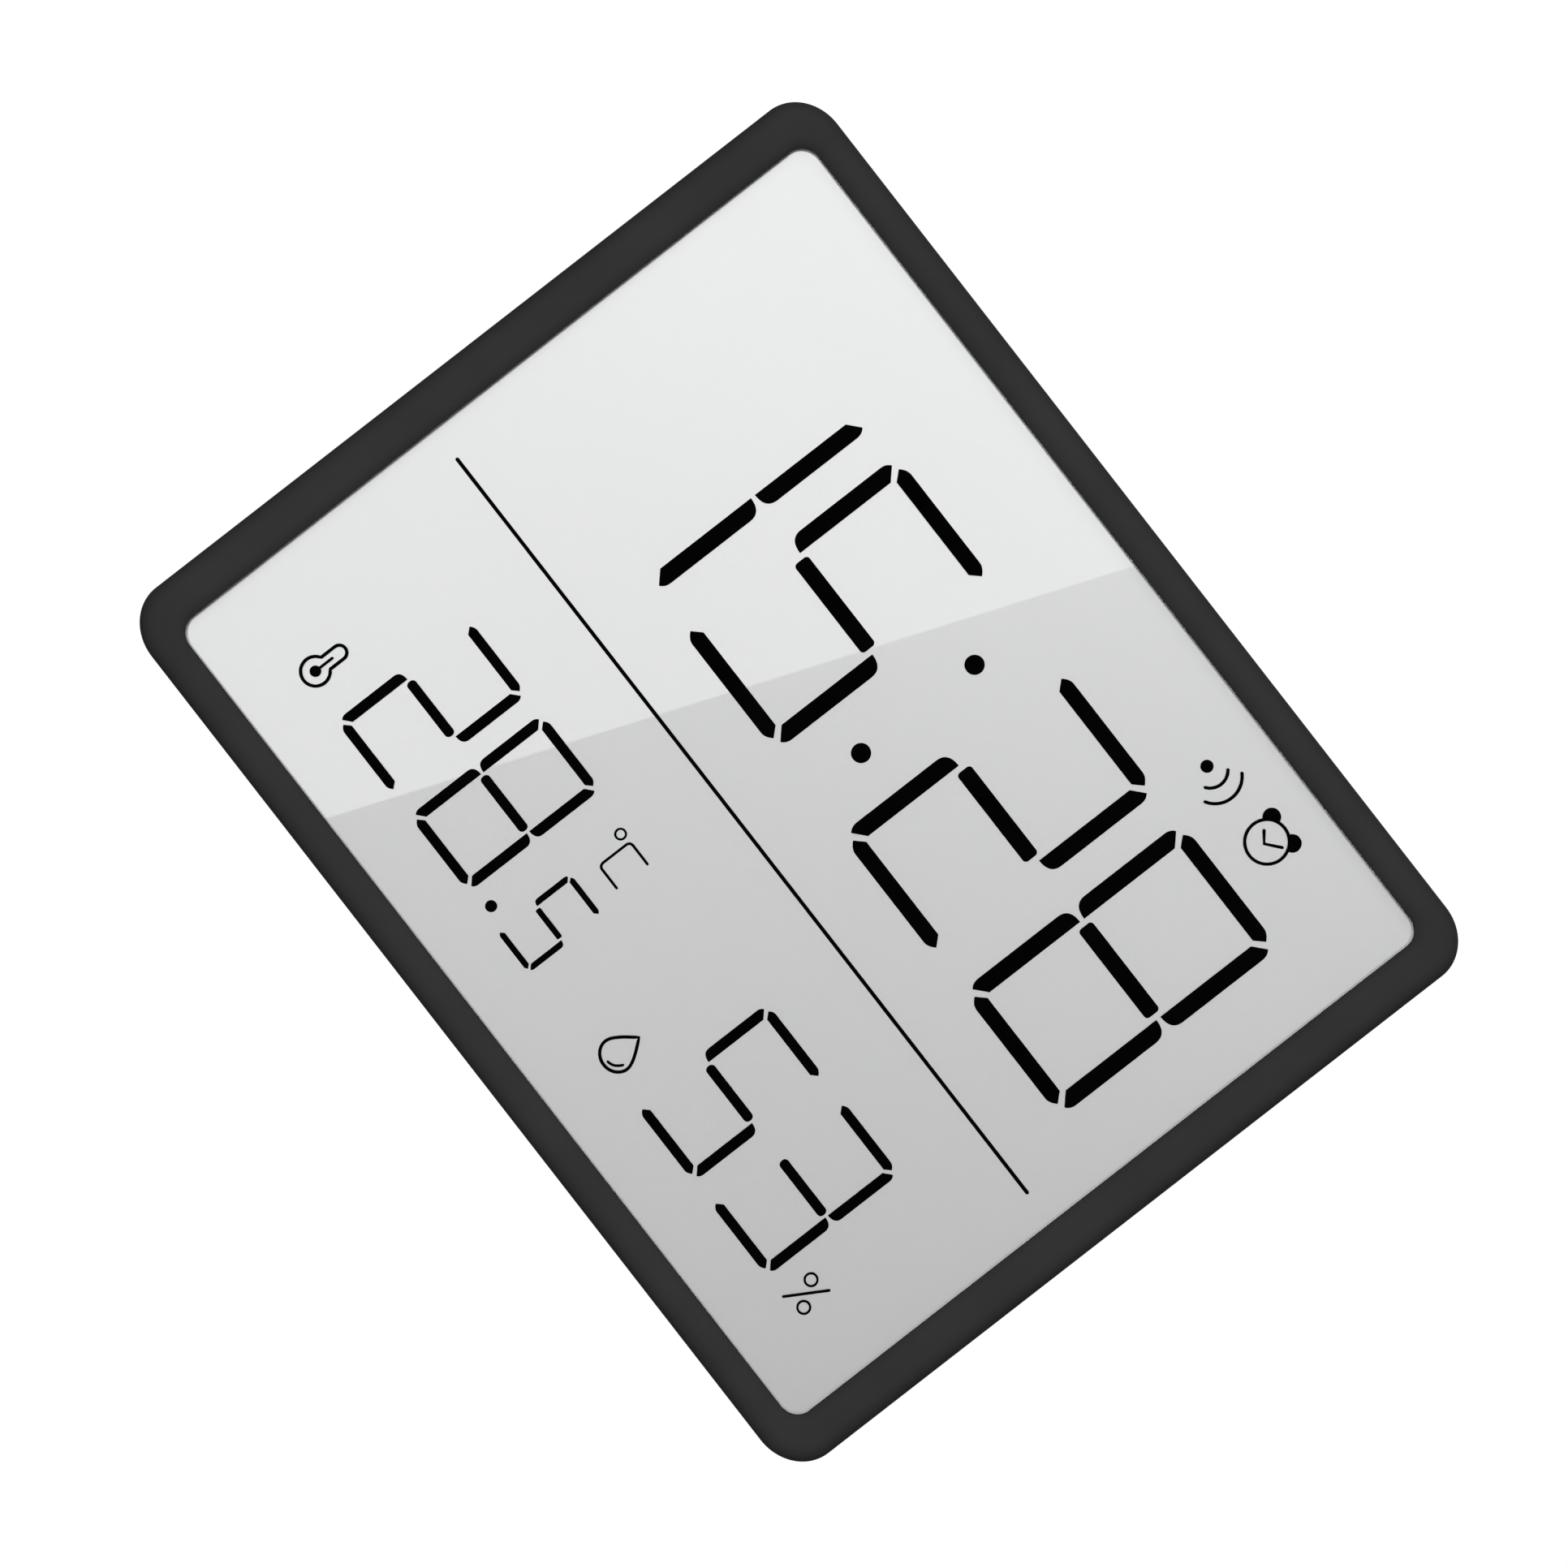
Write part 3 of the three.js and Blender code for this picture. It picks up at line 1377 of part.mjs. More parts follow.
// Flat four-core lead in the plane of the sensor, from its board to the main board
function sensorRibbon() {
  const start = sensorBoardFront - solderGap;
  const curve = new THREE.CatmullRomCurve3(
    [
      [start, sensorZ + ribbonRise],
      [start - ribbonLift * 0.4, sensorZ + ribbonRise],
      [start - ribbonLift, sensorZ + 2 * ribbonRise],
      [start - ribbonLift, sensorZ + ribbonRun],
      [boardBack + leadLift, boardBottom - 2 * leadLift],
      [boardBack + leadLift * 0.95, boardBottom + ribbonLanding / 2],
      [boardBack + leadLift * 0.4, boardBottom + ribbonLanding],
      [boardBack + solderGap, boardBottom + ribbonLanding],
    ].map(([depth, z]) => new THREE.Vector3(sensorX, at(depth), z)),
  );
  return swept(curve, circlePoints(ribbonWide, 8, ribbonThick / ribbonWide), 18);
}

const clock = new THREE.Group();

clock.add(
  pieceOf('front_frame', frontFrame(), frameGrey),
  pieceOf('lens_tape', lensTape(), tapeBlack),
  pieceOf('lens', lens(), clearAcrylic),
  pieceOf('lcd_front_glass', displaySheet(glassTop, frontGlassFront, glassThickness), displayGlass),
  pieceOf('lcd_segment_layer', segmentLayer(), segmentBlack),
  pieceOf('lcd_rear_glass', displaySheet(windowTop + faceGap, rearGlassFront, glassThickness), displayGlass),
  pieceOf('lcd_reflector', displaySheet(windowTop + faceGap, reflectorFront, reflectorThickness), filmGrey),
  pieceOf('display_carrier', displayCarrier(), carrierWhite),
  pieceOf('zebra_strip', zebraStrip(), rubberBlack),
);

clock.add(
  pieceOf('main_board', mainBoard(), boardGreen),
  placed(pieceOf('controller_chip', controllerChip(), epoxyBlack), chipX, boardBack + faceGap, boardBottom + chipRise),
  pieceOf('clock_crystal', clockCrystal(), steel),
  placed(pieceOf('smoothing_capacitor', smoothingCapacitor(), epoxyBlack), capacitorX, boardBack + faceGap,
    boardBottom + capacitorRise),
  pieceOf('sensor_board', sensorBoard(), boardGreen),
  pieceOf('humidity_sensor', humiditySensor(), epoxyBlack),
  pieceOf('sensor_ribbon', sensorRibbon(), ribbonGrey),
  pieceOf('buzzer_disc', buzzerDisc(), brass),
  pieceOf('buzzer_lead', buzzerLead(), wireBlack),
  pieceOf('battery_lead_positive', batteryLead(1), wireRed),
  pieceOf('battery_lead_negative', batteryLead(-1), wireBlack),
);

buttonPlaces().forEach(([x, z], i) => {
  clock.add(
    placed(pieceOf(`button_${i + 1}`, buttonCap(), buttonGrey), x, null, z),
    placed(pieceOf(`switch_plunger_${i + 1}`, switchPlunger(), epoxyBlack), x, switchBack - 1, z),
    placed(pieceOf(`switch_body_${i + 1}`, switchBody(), steel), x, boardBack + faceGap, z),
  );
});

clock.add(pieceOf('rear_housing', rearHousing(), rearGrey), pieceOf('battery_door', batteryDoor(), rearGrey));

const upperCell = pieceOf('battery_cell_upper', batteryCell(), sleeveBlue);
upperCell.rotation.z = -Math.PI / 2;
const springSeat = bayHalfWide - seatGap / 2 - contactThickness - faceGap;
clock.add(
  placed(upperCell, -springSeat + springLength + seatGap, cellAxis, bayCentre + cellPitch / 2),
);
const lowerCell = pieceOf('battery_cell_lower', batteryCell(), sleeveBlue);
lowerCell.rotation.z = Math.PI / 2;
clock.add(placed(lowerCell, springSeat - springLength - seatGap, cellAxis, bayCentre - cellPitch / 2));

const springCurve = new SpringCurve();
console.log(`least gap in a battery spring: ${springGap(springCurve).toFixed(2)} mm`);
const upperSpring = pieceOf('battery_spring_upper', batterySpring(springCurve), nickel);
clock.add(placed(upperSpring, -springSeat, cellAxis, bayCentre + cellPitch / 2));
const lowerSpring = pieceOf('battery_spring_lower', batterySpring(springCurve), nickel);
lowerSpring.rotation.z = Math.PI;
clock.add(placed(lowerSpring, springSeat, cellAxis, bayCentre - cellPitch / 2));

clock.add(
  pieceOf('contact_bridge', contactBridge(), nickel),
  pieceOf('contact_positive', contactPlate(bayCentre + cellPitch / 2), nickel),
  pieceOf('contact_negative', contactPlate(bayCentre - cellPitch / 2), nickel),
  pieceOf('stand_leg', standLeg(), rearGrey),
  pieceOf('stand_pin', standPin(), steel),
);

const addScrews = (name, size, places, seat) => {
  places.forEach(([x, z], i) => {
    clock.add(placed(pieceOf(`${name}_${i + 1}`, screw(size), steel), x, seat, z));
  });
};
addScrews('frame_screw', frameScrew, frameScrewPlaces(), carrierBack + faceGap);
addScrews('board_screw', boardScrew, boardScrewPlaces(), boardBack + faceGap);
addScrews('housing_screw', housingScrew, housingScrewPlaces(), headSeat + faceGap);

clock.position.z = -hangHeight;

export default clock;
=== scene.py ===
import bpy, bmesh, math
from mathutils import Matrix, Vector


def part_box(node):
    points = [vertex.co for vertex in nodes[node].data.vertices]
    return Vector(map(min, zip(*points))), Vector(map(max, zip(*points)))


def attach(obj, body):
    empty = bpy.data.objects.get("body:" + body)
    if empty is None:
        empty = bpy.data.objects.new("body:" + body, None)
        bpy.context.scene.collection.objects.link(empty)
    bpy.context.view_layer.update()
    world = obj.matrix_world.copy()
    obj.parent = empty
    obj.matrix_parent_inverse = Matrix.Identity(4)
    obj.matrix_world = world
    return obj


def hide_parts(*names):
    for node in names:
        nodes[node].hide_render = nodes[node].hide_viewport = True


# Digital wall clock. Blender works in metres and the sizes below are in millimetres.
# X runs right and Z up as seen from the front, and the display faces -Y.

mm = 0.001
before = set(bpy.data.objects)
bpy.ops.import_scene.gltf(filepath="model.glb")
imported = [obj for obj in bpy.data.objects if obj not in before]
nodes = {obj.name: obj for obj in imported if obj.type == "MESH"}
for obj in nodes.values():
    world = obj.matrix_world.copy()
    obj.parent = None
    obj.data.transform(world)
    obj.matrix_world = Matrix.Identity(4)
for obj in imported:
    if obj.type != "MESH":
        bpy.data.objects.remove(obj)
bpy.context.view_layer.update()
scene = bpy.context.scene

frameLow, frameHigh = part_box("front_frame")
clockCentre = (frameLow + frameHigh) / 2
print("frame loaded:", len(nodes), "nodes")


def linked(name, data):
    thing = bpy.data.objects.new(name, data)
    scene.collection.objects.link(thing)
    return thing


# Camera, set to the photograph's view: square on, with the clock turned clockwise

photoView = {
    "imageSize": 1932, "pixelX": 984.4, "pixelY": 963.4, "pixelsWide": 1352.4, "degrees": 52.149,
    "lens": 300.0, "sensor": 36.0, "clipStart": 0.05, "clipEnd": 50.0,
}


# The clock's centre lies at the given pixel, and the clock is as many pixels wide as given
def placeCamera(imageSize, pixelX, pixelY, pixelsWide, degrees, lens, sensor, clipStart, clipEnd):
    scale = (frameHigh.x - frameLow.x) / pixelsWide
    turn = math.radians(degrees)
    right = Vector((math.cos(turn), 0, math.sin(turn)))
    up = Vector((-math.sin(turn), 0, math.cos(turn)))
    aside, above = (imageSize / 2 - pixelX) * scale, (pixelY - imageSize / 2) * scale
    data = bpy.data.cameras.new("clockCamera")
    data.lens, data.sensor_width, data.clip_start, data.clip_end = lens, sensor, clipStart, clipEnd
    distance = imageSize * scale * lens / sensor
    target = Vector((clockCentre.x, frameLow.y, clockCentre.z)) + right * aside + up * above
    camera = linked("clockCamera", data)
    camera.matrix_world = Matrix((
        (right.x, up.x, 0, target.x),
        (right.y, up.y, -1, target.y - distance),
        (right.z, up.z, 0, target.z),
        (0, 0, 0, 1),
    ))
    scene.camera = camera
    return camera.location.copy()


cameraPlace = placeCamera(**photoView)
scene.view_settings.view_transform = "Standard"
print("camera placed")


# Small helpers for nodes. A node given as an input stands for its first output.

def addNode(tree, kind, inputs=None, **settings):
    node = tree.nodes.new(kind)
    for name, value in settings.items():
        setattr(node, name, value)
    for name, value in (inputs or {}).items():
        if isinstance(value, bpy.types.Node):
            value = value.outputs[0]
        if isinstance(value, bpy.types.NodeSocket):
            tree.links.new(value, node.inputs[name])
        else:
            node.inputs[name].default_value = value
    return node


def calculate(tree, operation, first, second, **settings):
    return addNode(tree, "ShaderNodeMath", {0: first, 1: second}, operation=operation, **settings)


def rgb(level):
    if isinstance(level, bpy.types.NodeSocket):
        return level
    return (*level, 1.0) if isinstance(level, tuple) else (level, level, level, 1.0)


# Sockets 6 and 7 of the node hold its two colours
def mixColours(tree, share, first, second):
    mixed = addNode(tree, "ShaderNodeMix", {0: share, 6: rgb(first), 7: rgb(second)}, data_type="RGBA")
    return mixed.outputs[2]


def mixShaders(tree, share, first, second):
    return addNode(tree, "ShaderNodeMixShader", {0: share, 1: first, 2: second})


def newMaterial(name):
    material = bpy.data.materials.new(name)
    material.use_nodes = True
    material.node_tree.nodes.clear()
    return material, material.node_tree


def finishMaterial(material, surface):
    addNode(material.node_tree, "ShaderNodeOutputMaterial", {"Surface": surface})
    return material


def objectPlace(tree):
    return addNode(tree, "ShaderNodeTexCoord").outputs["Object"]


# Noise whose usual span, from 0.3 to 0.7, is stretched to the values between low and high
def noiseMap(tree, place, scale, detail, low, high, stretch=None):
    if stretch:
        place = addNode(tree, "ShaderNodeMapping", {"Vector": place, "Scale": stretch})
    noise = addNode(tree, "ShaderNodeTexNoise", {"Vector": place, "Scale": scale, "Detail": detail})
    return addNode(tree, "ShaderNodeMapRange", {
        "Value": noise, "From Min": 0.3, "From Max": 0.7, "To Min": low, "To Max": high,
    }, clamp=False)


# Moulded plastic: two close tones, a spark-eroded grain and edges that the light catches softly
def mouldedPlastic(name, dark, light, roughness, specular, mottleScale, grainScale, grain, edge):
    material, tree = newMaterial(name)
    place = objectPlace(tree)
    tone = noiseMap(tree, place, mottleScale, 3.0, 0.0, 1.0)
    rough = noiseMap(tree, place, mottleScale * 3, 2.0, *roughness)
    pits = addNode(tree, "ShaderNodeTexNoise", {"Vector": place, "Scale": grainScale, "Detail": 2.0})
    soft = addNode(tree, "ShaderNodeBevel", {"Radius": edge * mm}, samples=6)
    bump = addNode(tree, "ShaderNodeBump", {
        "Height": pits, "Strength": grain, "Distance": 0.1 * mm, "Normal": soft})
    return finishMaterial(material, addNode(tree, "ShaderNodeBsdfPrincipled", {
        "Base Color": mixColours(tree, tone, dark, light), "Roughness": rough, "Normal": bump,
        "Specular IOR Level": specular}))


# Metal with a fine grain drawn out along one direction
def wroughtMetal(name, dark, light, scale, roughness, stretch):
    material, tree = newMaterial(name)
    place = objectPlace(tree)
    tone = noiseMap(tree, place, scale * 0.2, 3.0, 0.0, 1.0)
    rough = noiseMap(tree, place, scale, 3.0, *roughness, stretch=stretch)
    grain = noiseMap(tree, place, scale, 2.0, 0.0, 1.0, stretch=stretch)
    bump = addNode(tree, "ShaderNodeBump", {"Height": grain, "Strength": 0.15, "Distance": 0.05 * mm})
    return finishMaterial(material, addNode(tree, "ShaderNodeBsdfPrincipled", {
        "Base Color": mixColours(tree, tone, dark, light), "Metallic": 1.0, "Roughness": rough,
        "Normal": bump}))


# A clear coated pane: light goes straight through it, and it only reflects when seen at an angle
def clearPane(name, ior, coat, tint, smearScale, roughness):
    material, tree = newMaterial(name)
    smear = noiseMap(tree, objectPlace(tree), smearScale, 3.0, *roughness)
    fresnel = addNode(tree, "ShaderNodeFresnel", {"IOR": ior})
    coated = calculate(tree, "SUBTRACT", fresnel, coat, use_clamp=True)
    behind = addNode(tree, "ShaderNodeNewGeometry").outputs["Backfacing"]
    share = calculate(tree, "MULTIPLY", coated, calculate(tree, "SUBTRACT", 1.0, behind))
    clear = addNode(tree, "ShaderNodeBsdfTransparent", {"Color": rgb(tint)})
    shine = addNode(tree, "ShaderNodeBsdfGlossy", {"Color": rgb(1.0), "Roughness": smear})
    return finishMaterial(material, mixShaders(tree, share, clear, shine))


def paintPiece(piece, material):
    piece.data.materials.clear()
    piece.data.materials.append(material)


def newPiece(name, mesh, material, replaced=(), body="body"):
    piece = linked(name, mesh)
    if material:
        paintPiece(piece, material)
    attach(piece, body)
    if replaced:
        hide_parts(*replaced)
    return piece


# Small helpers for meshes

def plainMesh(name, vertices, faces=(), edges=()):
    mesh = bpy.data.meshes.new(name)
    mesh.from_pydata([tuple(v) for v in vertices], edges, faces)
    return mesh


# Ends the work on a shape and keeps it as a mesh
def storedMesh(shape, mesh):
    shape.to_mesh(mesh)
    shape.free()
    return mesh


# The plain mesh that an object's modifiers make. The object itself goes.
def evaluatedMesh(name, holder):
    ready = holder.evaluated_get(bpy.context.evaluated_depsgraph_get())
    mesh = bpy.data.meshes.new_from_object(ready)
    mesh.name = name
    holder.modifiers.clear()
    bpy.data.objects.remove(holder)
    return mesh


def tidyMesh(mesh, smoothAngle=None):
    shape = bmesh.new()
    shape.from_mesh(mesh)
    bmesh.ops.remove_doubles(shape, verts=shape.verts, dist=1e-6)
    bmesh.ops.recalc_face_normals(shape, faces=shape.faces)
    for face in shape.faces:
        face.smooth = smoothAngle is not None
    for edge in shape.edges:
        sharp = len(edge.link_faces) != 2 or edge.calc_face_angle(0) > math.radians(smoothAngle or 0)
        edge.smooth = smoothAngle is not None and not sharp
    storedMesh(shape, mesh)
    mesh.update()
    return mesh


def turnSteps(steps, last=math.pi / 2):
    return [i / steps * last for i in range(steps + 1)]


def roundedPoints(halfX, halfZ, cornerX, cornerZ, centreX, centreZ, steps):
    points = []
    for quarter, (signX, signZ) in enumerate(((1, 1), (-1, 1), (-1, -1), (1, -1))):
        for step in range(steps + 1):
            angle = (quarter + step / steps) * math.pi / 2
            points.append((centreX + signX * (halfX - cornerX) + cornerX * math.cos(angle),
                           centreZ + signZ * (halfZ - cornerZ) + cornerZ * math.sin(angle)))
    return points


# Joins rings of points, each ring a list of points and its depth behind the front face
def loftRings(rings):
    count = len(rings[0][0])
    vertices = [(x * mm, frameLow.y + depth * mm, clockCentre.z + z * mm)
                for points, depth in rings for x, z in points]
    faces = []
    for band in range(len(rings)):
        here, after = band * count, (band + 1) % len(rings) * count
        for i in range(count):
            j = (i + 1) % count
            faces.append((here + i, after + i, after + j, here + j))
    return vertices, faces


print("helpers ready")


# Front frame: flat bezel with rounded edges, drawn finer than the CAD solid

bezel = {
    "cornerX": 9.7, "cornerZ": 8.5, "edgeRound": 3.4, "wall": 2.0, "lip": 1.8,
    "windowCornerX": 4.0, "windowCornerZ": 3.6, "windowRound": 3.0, "windowLand": 0.2,
    "lensLap": 1.6, "glassLap": 2.0, "cornerSteps": 20, "roundSteps": 10, "windowSteps": 8,
}
lensLow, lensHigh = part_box("lens")
halfWide = (frameHigh.x - frameLow.x) / 2 / mm
halfTall = (frameHigh.z - frameLow.z) / 2 / mm
frameDepth = (frameHigh.y - frameLow.y) / mm
windowHalfX = lensHigh.x / mm - bezel["glassLap"]
windowTop = (lensHigh.z - clockCentre.z) / mm - bezel["lensLap"]
windowBottom = (lensLow.z - clockCentre.z) / mm + bezel["lensLap"]
windowCentre = (windowTop + windowBottom) / 2
windowHalfZ = (windowTop - windowBottom) / 2


def frameOutline(inset):
    return roundedPoints(halfWide - inset, halfTall - inset, bezel["cornerX"] - inset,
                         bezel["cornerZ"] - inset, 0, 0, bezel["cornerSteps"])


def windowOutline(outset):
    return roundedPoints(windowHalfX + outset, windowHalfZ + outset, bezel["windowCornerX"] + outset,
                         bezel["windowCornerZ"] + outset, 0, windowCentre, bezel["cornerSteps"])


# The window's rounding runs out in a short land before its curve stands upright
def makeBezel():
    outer, inner, lip, wall = (bezel[key] for key in ("edgeRound", "windowRound", "lip", "wall"))
    last = math.acos(1 - (lip - bezel["windowLand"]) / inner)
    rings = [(frameOutline(0), frameDepth)]
    rings += [(frameOutline(outer * (1 - math.cos(t))), outer * (1 - math.sin(t)))
              for t in turnSteps(bezel["roundSteps"])]
    rings += [(windowOutline(inner * (math.sin(last) - math.sin(t))), inner * (1 - math.cos(t)))
              for t in turnSteps(bezel["windowSteps"], last)]
    rings += [(windowOutline(0), lip), (frameOutline(wall), lip), (frameOutline(wall), frameDepth)]
    return tidyMesh(plainMesh("bezelShell", *loftRings(rings)), 30)


framePlastic = mouldedPlastic("charcoalFrame", **{
    "dark": 0.0268, "light": 0.03, "roughness": (0.52, 0.6), "specular": 0.005,
    "mottleScale": 60.0, "grainScale": 5200.0, "grain": 0.25, "edge": 0.15,
})
rearPlastic = mouldedPlastic("charcoalRear", **{
    "dark": 0.0255, "light": 0.0285, "roughness": (0.57, 0.63), "specular": 0.14,
    "mottleScale": 45.0, "grainScale": 3600.0, "grain": 0.5, "edge": 0.35,
})
newPiece("bezelFrame", makeBezel(), framePlastic, ["front_frame"])
print("front frame made")


# Display: black segments between the glasses, in front of the pale film

hourStyle = {
    "halfX": 14.98, "halfZ": 25.95, "upright": 3.36, "bar": 3.07,
    "midBar": 3.24, "midInset": 4.5, "midRound": 0.8, "midDrop": 0.3,
}
readingStyle = {
    "halfX": 9.05, "halfZ": 15.73, "upright": 2.08, "bar": 1.92,
    "midBar": 1.94, "midInset": 2.62, "midRound": 0.85, "midDrop": 0.2,
}
tenthStyle = {
    "halfX": 5.08, "halfZ": 8.82, "upright": 1.2, "bar": 1.14,
    "midBar": 1.14, "midInset": 1.64, "midRound": 0.3, "midDrop": 0.11,
}
hourHeight = windowTop - 48.55
readingHeight = windowBottom + 28.4
digitRows = {
    "hourDigits": {"style": hourStyle, "height": hourHeight,
                   "digits": [("1", -59.08), ("5", -22.05), ("2", 27.59), ("8", 64.62)]},
    "readingDigits": {"style": readingStyle, "height": readingHeight,
                      "digits": [("2", -53.13), ("8", -30.66), ("5", 38.05), ("3", 60.44)]},
    "tenthDigit": {"style": tenthStyle, "height": readingHeight - 7.31, "digits": [("5", -7.79)]},
}
displayDepth = {"front": 5.03, "back": 5.55}
litSegments = {"1": "bc", "2": "abged", "3": "abgcd", "5": "afgcd", "8": "abcdefg"}

# Which outline a segment uses, and how that outline is turned into its place in a digit
segmentPlaces = {
    "a": (1, (0, 0, 0)), "b": (0, (0, 0, math.pi)), "c": (0, (0, math.pi, 0)), "d": (1, (math.pi, 0, 0)),
    "e": (0, (math.pi, 0, 0)), "f": (0, (0, 0, 0)), "g": (2, (0, 0, 0)),
}
# Ends of an upright and of a bar, as shares of their strokes
uprightEnd = {
    "gapShare": 0.27, "footShare": 0.14, "waistShare": 0.82, "tipIn": 0.29, "tipRise": 0.64, "bendDrop": 0.2,
}
barEnd = {"start": 1.19, "tipOut": 0.56, "tipDrop": 0.41, "crownIn": 0.75, "bendIn": 0.35}
bendSteps = 8


def bend(start, corner, end):
    points = []
    for step in range(1, bendSteps):
        t = step / bendSteps
        points.append(tuple((1 - t) ** 2 * a + 2 * t * (1 - t) * b + t * t * c
                            for a, b, c in zip(start, corner, end)))
    return points


# The top left upright of a digit, mitred at the corner and rounded towards the middle
def uprightOutline(style, gapShare, footShare, waistShare, tipIn, tipRise, bendDrop):
    side, upright = style["halfX"], style["upright"]
    inner, low = -side + upright, footShare * upright
    high = style["halfZ"] - style["bar"] - gapShare * upright
    foot, shoulder, waist = (inner, low), (-side, high), (-side, low + waistShare * upright)
    tip = (-side + tipIn * upright, high + tipRise * upright)
    return [foot, (inner, high), tip, *bend(tip, (-side, tip[1] - bendDrop * upright), shoulder),
            shoulder, waist, *bend(waist, (-side, low), foot)]


def barOutline(style, start, tipOut, tipDrop, crownIn, bendIn):
    stroke, top = style["bar"], style["halfZ"]
    inner = -style["halfX"] + start * style["upright"]
    tip = inner - tipOut * stroke
    end, crown = (tip, top - tipDrop * stroke), (tip + crownIn * stroke, top)
    left = [(inner, top - stroke), end, *bend(end, (tip + bendIn * stroke, top), crown), crown]
    return left + [(-x, z) for x, z in reversed(left)]


def middleOutline(style):
    return roundedPoints(style["halfX"] - style["midInset"], style["midBar"] / 2, style["midRound"],
                         style["midRound"], 0, -style["midDrop"], bendSteps)


# One flat face, which the tree below thickens
def flatFace(name, points):
    corners = [(x * mm, 0, z * mm) for x, z in points]
    return linked(name, plainMesh(name, corners, [tuple(range(len(points)))]))


# A new tree whose inputs are given by their kinds
def newTree(name, **inputs):
    tree = bpy.data.node_groups.new(name, "GeometryNodeTree")
    for label, kind in (("Geometry", "Geometry"), *inputs.items()):
        tree.interface.new_socket(label, in_out="INPUT", socket_type="NodeSocket" + kind)
    tree.interface.new_socket("Geometry", in_out="OUTPUT", socket_type="NodeSocketGeometry")
    return tree, addNode(tree, "NodeGroupInput").outputs


def finishTree(tree, geometry, material):
    real = addNode(tree, "GeometryNodeRealizeInstances", {"Geometry": geometry})
    painted = addNode(tree, "GeometryNodeSetMaterial", {"Geometry": real, "Material": material})
    addNode(tree, "NodeGroupOutput", {0: painted})
    return tree


def joinAll(tree, parts):
    joined = addNode(tree, "GeometryNodeJoinGeometry")
    for part in parts:
        tree.links.new(part.outputs[0], joined.inputs[0])
    return joined


def objectGeometry(tree, thing):
    return addNode(tree, "GeometryNodeObjectInfo", {"Object": thing}).outputs["Geometry"]


# Segments of a digit display: each point carries the number of its outline and its turn
def segmentTree():
    tree, given = newTree("segmentDigits", Upright="Object", Bar="Object", Middle="Object", Relief="Float",
                          Ink="Material")
    part = addNode(tree, "GeometryNodeInputNamedAttribute", {"Name": "part"}, data_type="INT")
    turn = addNode(tree, "GeometryNodeInputNamedAttribute", {"Name": "turn"}, data_type="FLOAT_VECTOR")
    half = calculate(tree, "MULTIPLY", given["Relief"], 0.5)
    back = addNode(tree, "ShaderNodeCombineXYZ", {"Y": half})
    forward = addNode(tree, "ShaderNodeCombineXYZ", {"Y": -1.0})
    placed = []
    for index, name in enumerate(("Upright", "Bar", "Middle")):
        flat = objectGeometry(tree, given[name])
        behind = addNode(tree, "GeometryNodeSetPosition", {"Geometry": flat, "Offset": back})
        raised = addNode(tree, "GeometryNodeExtrudeMesh", {
            "Mesh": behind, "Offset": forward, "Offset Scale": given["Relief"], "Individual": False})
        closing = addNode(tree, "GeometryNodeFlipFaces", {"Mesh": behind})
        closed = addNode(tree, "GeometryNodeMergeByDistance", {
            "Geometry": joinAll(tree, [raised, closing]), "Distance": 0.001 * mm})
        chosen = addNode(tree, "FunctionNodeCompare", {2: part, 3: index}, data_type="INT", operation="EQUAL")
        placed.append(addNode(tree, "GeometryNodeInstanceOnPoints", {
            "Points": given["Geometry"], "Selection": chosen, "Instance": closed, "Rotation": turn}))
    return finishTree(tree, joinAll(tree, placed), given["Ink"])


# Runs a tree on bare points, or on the line that links them, and returns the result as a plain mesh
def growMesh(name, tree, points, values, attributes=None, asLine=False):
    edges = [(i, i + 1) for i in range(len(points) - 1)] if asLine else []
    mesh = plainMesh(name + "Points", points, edges=edges)
    for attribute, (kind, items) in (attributes or {}).items():
        data = mesh.attributes.new(attribute, kind, "POINT").data
        for spot, value in zip(data, items):
            setattr(spot, "vector" if kind == "FLOAT_VECTOR" else "value", value)
    holder = linked(name + "Points", mesh)
    modifier = holder.modifiers.new("grow", "NODES")
    modifier.node_group = tree
    for key, value in values.items():
        modifier[tree.interface.items_tree[key].identifier] = value
    holder.update_tag()
    return evaluatedMesh(name, holder)


def digitPoints(digits, height):
    points, parts, turns = [], [], []
    depth = (displayDepth["front"] + displayDepth["back"]) / 2
    for digit, x in digits:
        for segment in litSegments[digit]:
            part, turn = segmentPlaces[segment]
            points.append((x * mm, frameLow.y + depth * mm, clockCentre.z + height * mm))
            parts.append(part)
            turns.append(turn)
    return points, {"part": ("INT", parts), "turn": ("FLOAT_VECTOR", turns)}


# The segments cast no shadow on the film, as the real ones lie close to it
def inkPiece(name, mesh, material):
    piece = newPiece(name, mesh, material, ["lcd_segment_layer"])
    piece.visible_shadow = False


def makeDigits(name, tree, ink, style, height, digits):
    outlines = {"Upright": uprightOutline(style, **uprightEnd), "Bar": barOutline(style, **barEnd),
                "Middle": middleOutline(style)}
    faces = {key: flatFace(name + key, points) for key, points in outlines.items()}
    points, attributes = digitPoints(digits, height)
    relief = (displayDepth["back"] - displayDepth["front"]) * mm
    grown = growMesh(name, tree, points, {**faces, "Ink": ink, "Relief": relief}, attributes)
    for face in faces.values():
        bpy.data.objects.remove(face)
    inkPiece(name, tidyMesh(grown), None)


def segmentInk():
    material, tree = newMaterial("segmentInk")
    tone = noiseMap(tree, objectPlace(tree), 120.0, 2.0, 0.0, 1.0)
    return finishMaterial(material, addNode(tree, "ShaderNodeBsdfPrincipled", {
        "Base Color": mixColours(tree, tone, 0.0008, 0.0016), "Roughness": 0.9, "Specular IOR Level": 0.0}))


